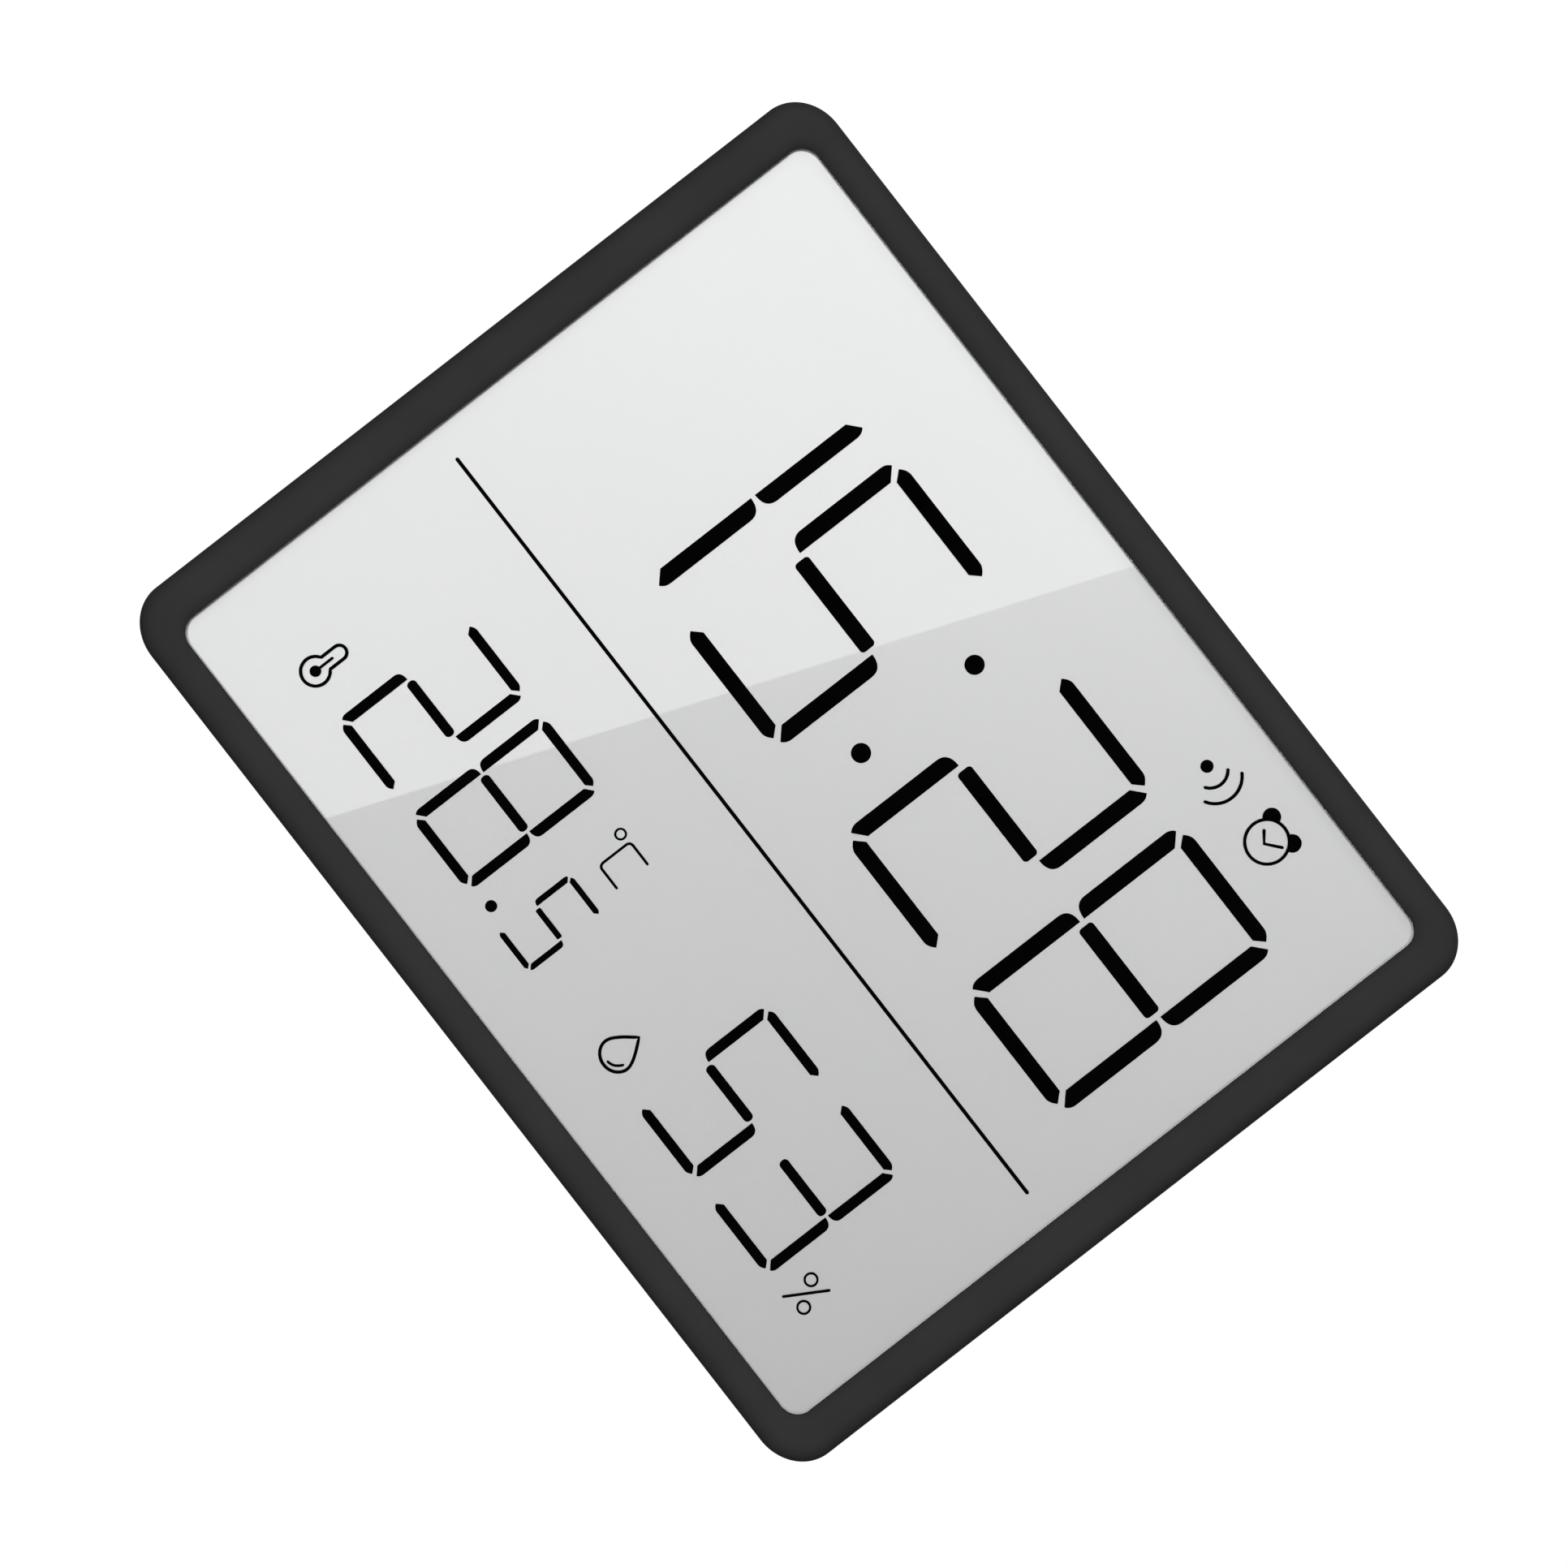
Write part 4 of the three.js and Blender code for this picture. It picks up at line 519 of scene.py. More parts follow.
ink, segments = segmentInk(), segmentTree()
for name, row in digitRows.items():
    makeDigits(name, segments, ink, **row)
print("digits grown")


# Drawn marks: lines, rings and filled outlines

# The direction across a path at each of its points
def pathNormals(path, closed=False):
    last = len(path) - 1
    normals = []
    for i in range(len(path)):
        before, after = path[max(i - 1, 0)], path[min(i + 1, last)]
        if closed:
            before, after = path[i - 1], path[(i + 1) % len(path)]
        along = Vector((after[0] - before[0], after[1] - before[1])).normalized()
        normals.append(Vector((-along.y, along.x)))
    return normals


def besidePath(path, normals, offset):
    return [(x + offset * n.x, z + offset * n.y) for (x, z), n in zip(path, normals)]


def roundEnd(centre, normal, radius, steps=6):
    points = []
    for step in range(1, steps):
        angle = step * math.pi / steps
        points.append((centre[0] + radius * (normal.x * math.cos(angle) + normal.y * math.sin(angle)),
                       centre[1] + radius * (normal.y * math.cos(angle) - normal.x * math.sin(angle))))
    return points


# An open line of even width with round ends, as an outline
def strokeOutline(path, width):
    half, normals = width / 2, pathNormals(path)
    return (besidePath(path, normals, half) + roundEnd(path[-1], normals[-1], half)
            + besidePath(path, normals, -half)[::-1] + roundEnd(path[0], -normals[0], half))


# A closed line of even width: its outer edge, then its inner edge as a hole
def loopOutlines(path, width):
    normals = pathNormals(path, closed=True)
    return [besidePath(path, normals, -width / 2), besidePath(path, normals, width / 2)]


def arc(centreX, centreZ, radius, start, end, steps=32):
    angles = [math.radians(start + (end - start) * i / steps) for i in range(steps + 1)]
    return [(centreX + radius * math.cos(a), centreZ + radius * math.sin(a)) for a in angles]


def circle(centreX, centreZ, radius, steps=40):
    return arc(centreX, centreZ, radius, 0, 360, steps)[:-1]


def ring(x, z, radius, stroke):
    return [circle(x, z, radius + stroke / 2), circle(x, z, radius - stroke / 2)]


def bezierPath(start, first, second, end, steps=12):
    points = []
    for step in range(steps + 1):
        t = step / steps
        points.append(tuple((1 - t) ** 3 * a + 3 * t * (1 - t) ** 2 * b + 3 * t * t * (1 - t) * c + t ** 3 * d
                            for a, b, c, d in zip(start, first, second, end)))
    return points


# Filled flat shapes between two depths behind the front face. Each shape is an outline with its holes.
def flatMesh(name, shapes, depths):
    front, back = depths["front"] * mm, depths["back"] * mm
    whole = bmesh.new()
    for outlines in shapes:
        curve = bpy.data.curves.new(name + "Outline", "CURVE")
        curve.dimensions, curve.fill_mode, curve.extrude = "2D", "BOTH", (back - front) / 2
        for points in outlines:
            spline = curve.splines.new("POLY")
            spline.points.add(len(points) - 1)
            for spot, (x, z) in zip(spline.points, points):
                spot.co = (x * mm, z * mm, 0, 1)
            spline.use_cyclic_u = True
        holder = bpy.data.objects.new(name + "Outline", curve)
        part = bpy.data.meshes.new_from_object(holder)
        part.transform(Matrix.Rotation(math.pi / 2, 4, "X"))
        part.transform(Matrix.Translation((0, frameLow.y + (front + back) / 2, clockCentre.z)))
        whole.from_mesh(part)
        bpy.data.objects.remove(holder)
    return tidyMesh(storedMesh(whole, bpy.data.meshes.new(name)))


# Marks of the display, each drawn about a place of its own

def dotMark(radius):
    return [[circle(0, 0, radius)]]


def lineMark(reach, width):
    return [[strokeOutline([(-reach, 0), (reach, 0)], width)]]


# The dial's outer half is cut out of each bell, so that a gap of light runs round the dial
def alarmMark(stroke, dial, bell, bellX, bellZ, bellCut, bellSteps, hands):
    bells = []
    for side in (-1, 1):
        whole = circle(side * bellX, bellZ, bell, bellSteps)
        rim = [point for point in whole if math.hypot(*point) >= bellCut]
        start = max(range(len(rim)), key=lambda i: math.dist(rim[i], rim[i - 1]))
        bells.append([rim[start:] + rim[:start]])
    return [ring(0, 0, dial - stroke / 2, stroke), *bells, [strokeOutline(hands, stroke)]]


def soundMark(stroke, dot, waves):
    arcs = [arc(x, 0, radius, -spread, spread) for x, radius, spread in waves]
    return [[circle(0, 0, dot)], *([strokeOutline(path, stroke)] for path in arcs)]


def thermometerMark(stroke, bulb, tube, top, core, column, columnStroke):
    neck = math.degrees(math.acos(tube / bulb))
    path = arc(0, top - tube, tube, 0, 180, 16) + arc(0, 0, bulb, 180 - neck, 360 + neck, 40)
    return [loopOutlines(path, stroke), [circle(0, 0, core)],
            [strokeOutline([(0, 0), (0, column)], columnStroke)]]


def dropMark(stroke, tip, neck, halfX, widest, swell, base, baseReach, glint, glintStroke):
    side = (-halfX, widest)
    left = bezierPath((0, tip), neck, (-halfX, swell), side)
    left += bezierPath(side, (-halfX, -swell), (-baseReach, -base), (0, -base))[1:]
    path = left + [(-x, z) for x, z in reversed(left[1:-1])]
    return [loopOutlines(path, stroke), [strokeOutline([glint[0], *bend(*glint), glint[2]], glintStroke)]]


def percentMark(stroke, radius, ringStroke, rings, slash):
    return [*(ring(x, z, radius, ringStroke) for x, z in rings), [strokeOutline(slash, stroke)]]


def degreeMark(radius, stroke):
    return [ring(0, 0, radius, stroke)]


def unitMark(left, right, top, bottom, corner, steps, stroke):
    path = [(right, top), *arc(left + corner, top - corner, corner, 90, 180, steps),
            *arc(left + corner, bottom + corner, corner, 180, 270, steps), (right, bottom)]
    return [[strokeOutline(path, stroke)]]


def moved(outlines, x, z):
    return [[(pointX + x, pointZ + z) for pointX, pointZ in points] for points in outlines]


# The marks of each piece: how one is drawn, the place it is drawn about, and its sizes
displayMarks = {
    "clockMarks": [
        (dotMark, (2.88, hourHeight + 13.45), {"radius": 1.9}),
        (dotMark, (2.88, hourHeight - 13.47), {"radius": 1.9}),
        (dotMark, (-16.99, readingHeight - 13.94), {"radius": 1.14}),
        (lineMark, (0, windowCentre - 13.59), {"reach": windowHalfX - 7.05, "width": 0.75}),
    ],
    "topIcons": [
        (alarmMark, (62.64, windowTop - 12.21), {
            "stroke": 0.62, "dial": 4.5, "bell": 1.75, "bellX": 3.13, "bellZ": 3.56, "bellCut": 4.2,
            "bellSteps": 72, "hands": [(-2.03, 0.86), (-0.04, -0.65), (2.58, 1.57)]}),
        (soundMark, (44.58, windowTop - 12.41), {
            "stroke": 0.64, "dot": 1.23, "waves": [(0.9, 3.37, 53), (2.42, 5.09, 59)]}),
    ],
    "readingIcons": [
        (thermometerMark, (-71.89, readingHeight - 12.94), {
            "stroke": 0.64, "bulb": 2.78, "tube": 1.4, "top": 7.08, "core": 1.09, "column": 4.0,
            "columnStroke": 0.53}),
        (dropMark, (19.4, readingHeight - 12.68), {
            "stroke": 0.64, "tip": 5.5, "neck": (-1.92, 3.29), "halfX": 3.33, "widest": 0.13, "swell": 1.52,
            "base": 2.85, "baseReach": 1.79, "glint": [(0.0, -1.89), (1.5, -1.7), (2.25, -0.04)],
            "glintStroke": 0.52}),
        (percentMark, (76.6, readingHeight - 11.68), {
            "stroke": 0.54, "radius": 1.2, "ringStroke": 0.44, "rings": [(-1.63, 2.12), (1.63, -2.14)],
            "slash": [(-2.3, -3.9), (2.04, 3.58)]}),
        (degreeMark, (-12.76, readingHeight + 13.46), {"radius": 1.0, "stroke": 0.44}),
        (unitMark, (0, readingHeight), {
            "left": -10.54, "right": -5.25, "top": 13.99, "bottom": 6.68, "corner": 0.9, "steps": 10,
            "stroke": 0.53}),
    ],
}


def drawnMarks(marks):
    return [moved(outlines, *place) for draw, place, sizes in marks for outlines in draw(**sizes)]


for name, marks in displayMarks.items():
    inkPiece(name, flatMesh(name, drawnMarks(marks), displayDepth), ink)
print("icons drawn")


# Film, glasses and window

# The film scatters most of the light and mirrors the rest, behind the black segments
def displayFilm(name, scale, warm, cool, roughness, mirror):
    material, tree = newMaterial(name)
    place = objectPlace(tree)
    fine = noiseMap(tree, place, scale, 2.0, 0.0, 1.0)
    smear = noiseMap(tree, place, scale * 0.1, 2.0, *roughness)
    matt = addNode(tree, "ShaderNodeBsdfDiffuse", {"Color": mixColours(tree, fine, cool, warm)})
    shine = addNode(tree, "ShaderNodeBsdfGlossy", {"Color": rgb(1.0), "Roughness": smear})
    return finishMaterial(material, mixShaders(tree, mirror, matt, shine))


windowPane = clearPane("windowPane", **{
    "ior": 1.5, "coat": 0.041, "tint": 0.99, "smearScale": 30.0, "roughness": (0.0, 0.012)})
displayPane = clearPane("displayPane", **{
    "ior": 1.15, "coat": 0.006, "tint": 0.99, "smearScale": 400.0, "roughness": (0.2, 0.26)})
for name, pane in (("lens", windowPane), ("lcd_front_glass", displayPane), ("lcd_rear_glass", displayPane)):
    paintPiece(nodes[name], pane)
    nodes[name].visible_shadow = nodes[name].visible_diffuse = nodes[name].visible_glossy = False
paintPiece(nodes["lcd_reflector"], displayFilm("displayFilm", **{
    "scale": 900.0, "warm": (0.571, 0.573, 0.571), "cool": (0.564, 0.567, 0.565),
    "roughness": (0.004, 0.008), "mirror": 0.3}))
print("display finished")


# Shapes turned about a line and finer copies of CAD pieces

def softened(profile, radius, steps=4):
    points = [profile[0]]
    for before, here, after in zip(profile, profile[1:], profile[2:]):
        corner, back, on = Vector(here), Vector(before) - Vector(here), Vector(after) - Vector(here)
        start = corner + back.normalized() * min(radius, back.length * 0.45)
        end = corner + on.normalized() * min(radius, on.length * 0.45)
        for step in range(steps + 1):
            t = step / steps
            points.append(tuple(start.lerp(corner, t).lerp(corner.lerp(end, t), t)))
    return points + [profile[-1]]


# A profile of radius and rise is turned about a line through the place. Tones mark bands of colour.
def turnedMesh(name, profile, place=(0, 0, 0), along=(0, 1, 0), sides=40, smoothAngle=35, tones=None):
    direction, across = Vector(along), Vector((0, 0, 1))
    aside = direction.cross(across)
    vertices, faces = [], []
    for radius, rise in profile:
        for side in range(sides):
            angle = side / sides * 2 * math.pi
            out = across * math.cos(angle) + aside * math.sin(angle)
            vertices.append(Vector(place) + (direction * rise + out * radius) * mm)
    for here in range(0, (len(profile) - 1) * sides, sides):
        for side in range(sides):
            after = (side + 1) % sides
            faces.append((here + side, here + after, here + sides + after, here + sides + side))
    mesh = plainMesh(name, vertices, faces)
    if tones:
        tone = mesh.attributes.new("tone", "FLOAT", "POINT")
        tone.data.foreach_set("value", [value for value in tones for side in range(sides)])
    return tidyMesh(mesh, smoothAngle)


# Large flat faces keep their own normals, so that only the rounded edges between them are shaded softly
def weightedMesh(name, mesh):
    holder = linked(name, mesh)
    modifier = holder.modifiers.new("weight", "WEIGHTED_NORMAL")
    modifier.keep_sharp = True
    return evaluatedMesh(name, holder)


# A merged copy of CAD pieces with smoothed curves, and with its sharp edges bevelled if a width is given
def finishedCopy(name, sources, material, bevel=0, smoothAngle=32, body="body"):
    whole = bmesh.new()
    for source in sources:
        part = nodes[source].data.copy()
        part.transform(nodes[source].matrix_world)
        whole.from_mesh(part)
        bpy.data.meshes.remove(part)
    bmesh.ops.remove_doubles(whole, verts=whole.verts, dist=2e-6)
    if bevel:
        bmesh.ops.dissolve_limit(whole, angle_limit=math.radians(0.8), verts=whole.verts, edges=whole.edges)
        sharp = [edge for edge in whole.edges if edge.calc_face_angle(0) > math.radians(smoothAngle)]
        bmesh.ops.bevel(whole, geom=sharp, offset=bevel * mm, segments=2, profile=0.5, affect="EDGES",
                        clamp_overlap=True)
    mesh = storedMesh(whole, bpy.data.meshes.new(name))
    mesh.materials.clear()
    tidyMesh(mesh, smoothAngle)
    return newPiece(name, weightedMesh(name, mesh), material, sources, body)


def boxCentre(name):
    low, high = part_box(name)
    return (low + high) / 2


# Moulded pieces of the back

buttonPlastic = mouldedPlastic("greyButton", **{
    "dark": 0.038, "light": 0.046, "roughness": (0.42, 0.52), "specular": 0.35,
    "mottleScale": 70.0, "grainScale": 5200.0, "grain": 0.2, "edge": 0.15,
})
finishedCopy("rearShell", ["rear_housing"], rearPlastic)
finishedCopy("doorCover", ["battery_door"], rearPlastic, bevel=0.2, body="door")
finishedCopy("standFoot", ["stand_leg"], rearPlastic, bevel=0.3, body="stand")

buttonShape = {
    "radius": 3.3, "flange": 1.1, "flangeFront": -3.2, "flangeBack": -2.4, "stem": 1.7, "dish": 0.4,
    "dishSteps": 8, "rim": 0.5, "soften": 0.35,
}
buttonNames = ["button_%d" % index for index in range(1, 6)]


def buttonProfile(low, face, radius, flange, flangeFront, flangeBack, stem, dish, dishSteps, rim, soften):
    inner, wide = radius - rim, radius + flange
    bowl = [(inner * math.cos(t), face - dish * math.sin(t)) for t in turnSteps(dishSteps)]
    outer = [(0, low), (stem, low), (stem, flangeFront), (wide, flangeFront), (wide, flangeBack),
             (radius, flangeBack), (radius, face), (inner, face)]
    return softened(outer + [bowl[1]], soften) + bowl[2:]


for source in buttonNames:
    low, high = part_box(source)
    centre, name = boxCentre(source), source.replace("button", "buttonCap")
    profile = buttonProfile(low.y / mm, high.y / mm, **buttonShape)
    newPiece(name, turnedMesh(name, profile, (centre.x, 0, centre.z)), buttonPlastic,
             [source], source)


# Raised marks over the buttons and on the door's tongue. They are drawn as seen from behind,
# about their own centres.
backMarks = {
    "stroke": 0.5, "thinStroke": 0.35, "size": 1.5, "rise": 9.6, "relief": {"front": 27.75, "back": 28.0},
    "doorRelief": {"front": 27.45, "back": 27.7}, "arrowRise": 12.0, "arrowTall": 0.85, "dot": 0.45,
    "alarmDrop": 0.2, "alarmShare": 0.85, "alarmHands": [(0, 0.6), (0, -0.3), (-0.7, -0.3)],
    "alarmBell": [(0.9, 1.9), (1.9, 1.1)],
    "degree": (1.6, 1.1, 0.55), "letterAside": 0.9, "letterSpread": 130, "letterSteps": 24,
}


def arrowMark(shape, point):
    size, tall = shape["size"], point * shape["size"] * shape["arrowTall"]
    return [[(-size, -tall), (size, -tall), (0, tall)]]


def buttonMarks(shape):
    size, stroke, thin = shape["size"], shape["stroke"], shape["thinStroke"]
    clock = [ring(0, 0, size, stroke), [circle(0, 0, shape["dot"], 16)]]
    bells = [[strokeOutline([(side * x, z) for x, z in shape["alarmBell"]], stroke)] for side in (-1, 1)]
    alarm = [ring(0, -shape["alarmDrop"], size * shape["alarmShare"], stroke),
             [strokeOutline(shape["alarmHands"], thin)], *bells]
    spread = shape["letterSpread"]
    letter = arc(-shape["letterAside"], 0, size, -spread, spread, shape["letterSteps"])
    unit = [ring(*shape["degree"], thin), [strokeOutline(letter, stroke)]]
    marks = []
    symbols = (clock, alarm, [arrowMark(shape, 1)], [arrowMark(shape, -1)], unit)
    for source, symbol in zip(buttonNames[::-1], symbols):
        centre = boxCentre(source)
        height = (centre.z - clockCentre.z) / mm + shape["rise"]
        marks += [moved(outlines, centre.x / mm, height) for outlines in symbol]
    return marks


markPrint = mouldedPlastic("greyPrint", **{
    "dark": 0.24, "light": 0.3, "roughness": (0.5, 0.6), "specular": 0.3,
    "mottleScale": 400.0, "grainScale": 4000.0, "grain": 0.2, "edge": 0.05,
})
newPiece("buttonMarks", flatMesh("buttonMarks", buttonMarks(backMarks), backMarks["relief"]), markPrint)
arrowHeight = (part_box("battery_door")[0].z - clockCentre.z) / mm + backMarks["arrowRise"]
doorArrow = [moved(arrowMark(backMarks, 1), 0, arrowHeight)]
newPiece("doorArrow", flatMesh("doorArrow", doorArrow, backMarks["doorRelief"]), markPrint,
         body="door")
print("moulded pieces of the back finished")


# Battery cells, with a plain sleeve in two colours that leaves both ends bare

cellShape = {
    "radius": 7.25, "bodyLength": 49.5, "length": 50.5, "sleeveEnd": 6.35, "bandStart": 38.5, "seam": 0.01,
    "base": [(0, 0.3), (4.6, 0.3), (5.0, 0.0)], "shoulder": [(6.7, 0.05), (7.05, 0.2), (7.25, 0.55)],
    "lid": [(6.1, 0.35), (5.6, 0.4)], "nub": 2.75, "nubRound": 0.3, "nubFoot": 0.1,
}


def cellProfile(radius, bodyLength, length, sleeveEnd, bandStart, seam, base, shoulder, lid, nub, nubRound,
                nubFoot):
    top = [(x, bodyLength - drop) for x, drop in lid]
    stretches = (
        (0, [*base, (sleeveEnd, 0.0)]),
        (1, [(sleeveEnd + seam, 0.0), *shoulder, (radius, bandStart)]),
        (2, [(radius, bandStart + seam), *((x, bodyLength - inset) for x, inset in shoulder[::-1]),
             (sleeveEnd, bodyLength)]),
        (0, [(sleeveEnd - seam, bodyLength), *top, (nub + nubRound, top[-1][1]), (nub, bodyLength - nubFoot),
             (nub, length - nubRound), (nub - nubRound, length), (0, length)]),
    )
    profile = [point for tone, points in stretches for point in points]
    return profile, [tone for tone, points in stretches for point in points]


def cellSleeve(sleeve, band, metal):
    material, tree = newMaterial("cellSleeve")
    place = objectPlace(tree)
    tone = addNode(tree, "ShaderNodeAttribute", attribute_name="tone").outputs["Fac"]
    isSleeve, isBand = (calculate(tree, "GREATER_THAN", tone, least) for least in (0.5, 1.5))
    colour = mixColours(tree, isSleeve, metal, mixColours(tree, isBand, sleeve, band))
    worn = noiseMap(tree, place, 90.0, 3.0, 0.96, 1.04)
    varied = addNode(tree, "ShaderNodeVectorMath", {0: colour, "Scale": worn}, operation="SCALE")
    metallic = calculate(tree, "MAXIMUM", calculate(tree, "SUBTRACT", 1.0, isSleeve), isBand)
    rough = noiseMap(tree, place, 60.0, 1.0, 0.28, 0.32)
    return finishMaterial(material, addNode(tree, "ShaderNodeBsdfPrincipled", {
        "Base Color": varied, "Metallic": metallic, "Roughness": rough}))


wrap = cellSleeve(sleeve=(0.012, 0.014, 0.018), band=(0.62, 0.36, 0.16), metal=(0.62, 0.61, 0.58))
profile, tones = cellProfile(**cellShape)
for side, name, towards in (("upper", "cellUpper", 1), ("lower", "cellLower", -1)):
    source = "battery_cell_" + side
    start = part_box(source)[0 if towards > 0 else 1].x
    centre = boxCentre(source)
    mesh = turnedMesh(name, profile, (start, centre.y, centre.z), (towards, 0, 0), sides=64, tones=tones)
    newPiece(name, mesh, wrap, [source])


# Wire wound along a line of points

def wireTree():
    tree, given = newTree("woundWire", Radius="Float", Sides="Int", Metal="Material")
    line = addNode(tree, "GeometryNodeMeshToCurve", {"Mesh": given["Geometry"]})
    section = addNode(tree, "GeometryNodeCurvePrimitiveCircle", {
        "Resolution": given["Sides"], "Radius": given["Radius"]})
    tube = addNode(tree, "GeometryNodeCurveToMesh", {
        "Curve": line, "Profile Curve": section, "Fill Caps": True})
    return finishTree(tree, tube, given["Metal"])


springShape = {
    "base": 4.6, "top": 2.6, "wire": 0.7, "length": 5.0, "turns": 3.5, "stepsPerTurn": 28, "sides": 10,
}


def springLine(shape, seat, towards):
    count = int(shape["turns"] * shape["stepsPerTurn"])
    points = []
    for step in range(count + 1):
        t = step / count
        radius = shape["base"] + (shape["top"] - shape["base"]) * t - shape["wire"] / 2
        angle = t * shape["turns"] * 2 * math.pi
        rise = shape["wire"] / 2 + t * (shape["length"] - shape["wire"])
        turned = Vector((towards * rise, towards * radius * math.cos(angle), radius * math.sin(angle)))
        points.append(seat + turned * mm)
    return points


nickelPlate = wroughtMetal("nickelPlate", **{
    "dark": (0.56, 0.54, 0.5), "light": (0.66, 0.64, 0.6), "scale": 900.0, "roughness": (0.24, 0.36),
    "stretch": (1.0, 1.0, 8.0)})
brightSteel = wroughtMetal("brightSteel", **{
    "dark": (0.5, 0.5, 0.51), "light": (0.6, 0.6, 0.61), "scale": 1400.0, "roughness": (0.3, 0.42),
    "stretch": (1.0, 6.0, 1.0)})
wound = wireTree()
wire = {"Radius": springShape["wire"] / 2 * mm, "Sides": springShape["sides"], "Metal": nickelPlate}
for side, name, towards in (("upper", "springUpper", 1), ("lower", "springLower", -1)):
    source, centre = "battery_spring_" + side, boxCentre("battery_cell_" + side)
    seat = Vector((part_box(source)[0 if towards > 0 else 1].x, centre.y, centre.z))
    grown = growMesh(name, wound, springLine(springShape, seat, towards), wire, asLine=True)
    newPiece(name, tidyMesh(grown, 50), None, [source])
finishedCopy("contactPlates", ["contact_bridge", "contact_positive", "contact_negative"], nickelPlate,
             bevel=0.12)
print("cells, springs and contacts finished")


# Screws: a turned head and core with a cross recess, and a thread wound round the core

smallScrew = {"thread": 0.75, "head": 1.8, "tall": 1.2, "pitch": 0.65}
screwSizes = {
    "frame_screw": {**smallScrew, "name": "frameScrews", "length": 5.4},
    "board_screw": {**smallScrew, "name": "boardScrews", "length": 4.5},
    "housing_screw": {
        "name": "housingScrews", "thread": 1.2, "head": 2.4, "tall": 1.8, "pitch": 1.0, "length": 7.5},
}
# Shares of a screw's thread radius, head radius and head height
coreShare, runOut = 0.72, 1.4
screwForm = {"point": 0.3, "taper": 1.6, "skirt": 0.3, "crown": 0.45, "crownSteps": 6}
crossForm = {"reach": 1.15, "width": 0.3, "narrowing": 0.55, "floor": 0.25, "top": 1.3}


def screwTree():
    tree, given = newTree("crossHeadScrews", Body="Object", Cross="Object", Core="Float", Crest="Float",
                          Pitch="Float", Length="Float", Metal="Material")
    carved = addNode(tree, "GeometryNodeMeshBoolean", {
        "Mesh 1": objectGeometry(tree, given["Body"]), "Mesh 2": objectGeometry(tree, given["Cross"]),
        "Self Intersection": True}, operation="DIFFERENCE", solver="EXACT")
    helix = addNode(tree, "GeometryNodeCurveSpiral", {
        "Resolution": 20, "Rotations": calculate(tree, "DIVIDE", given["Length"], given["Pitch"]),
        "Start Radius": given["Core"], "End Radius": given["Core"], "Height": given["Length"]})
    ridge = addNode(tree, "GeometryNodeCurvePrimitiveCircle", {"Resolution": 4, "Radius": given["Crest"]})
    thread = addNode(tree, "GeometryNodeCurveToMesh", {
        "Curve": helix, "Profile Curve": ridge, "Fill Caps": True})
    laid = addNode(tree, "GeometryNodeTransform", {"Geometry": thread, "Rotation": (math.pi / 2, 0, 0)})
    spread = addNode(tree, "GeometryNodeInstanceOnPoints", {
        "Points": given["Geometry"], "Instance": joinAll(tree, [carved, laid])})
    return finishTree(tree, spread, given["Metal"])


def screwProfile(core, head, tall, length, point, taper, skirt, crown, crownSteps):
    shank = [(0, -length), (core * point, -length), (core, -length + taper * core), (core, 0), (head, 0),
             (head, tall * skirt)]
    dome = [(head * (crown + (1 - crown) * math.cos(t)), tall * (skirt + (1 - skirt) * math.sin(t)))
            for t in turnSteps(crownSteps)[1:]]
    return shank + dome + [(0, tall)]


# Two crossed bars that narrow with depth, to be taken out of a screw's head
def crossMesh(head, tall, reach, width, narrowing, floor, top):
    shape = bmesh.new()
    for turn in (0, math.pi / 2):
        for vertex in bmesh.ops.create_cube(shape, size=1.0)["verts"]:
            deep = vertex.co.y < 0
            wide = head * (narrowing if deep else 1.0)
            x, z = vertex.co.x * reach * wide, vertex.co.z * width * wide
            vertex.co = (x * math.cos(turn) - z * math.sin(turn), tall * (floor if deep else top),
                         x * math.sin(turn) + z * math.cos(turn))
    return storedMesh(shape, bpy.data.meshes.new("screwCross"))


def makeScrews(tree, source, name, thread, head, tall, pitch, length):
    core = thread * coreShare
    profile = screwProfile(core, head, tall, length, **screwForm)
    body = linked("screwBody", turnedMesh("screwBody", profile, sides=32))
    cross = linked("screwCross", crossMesh(head * mm, tall * mm, **crossForm))
    screws = ["%s_%d" % (source, index) for index in range(1, 5)]
    places = []
    for screw in screws:
        centre, high = boxCentre(screw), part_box(screw)[1]
        places.append((centre.x, high.y - tall * mm, centre.z))
    values = {"Body": body, "Cross": cross, "Core": core * mm, "Crest": thread * (1 - coreShare) * mm,
              "Pitch": pitch * mm, "Length": (length - runOut * thread) * mm, "Metal": brightSteel}
    grown = growMesh(name, tree, places, values)
    for shape in (body, cross):
        bpy.data.objects.remove(shape)
    newPiece(name, tidyMesh(grown, 40), None, screws)


threaded = screwTree()
for source, size in screwSizes.items():
    makeScrews(threaded, source, **size)
finishedCopy("standPinRod", ["stand_pin"], brightSteel, bevel=0.15, smoothAngle=45)
print("screws grown")


# Electronics

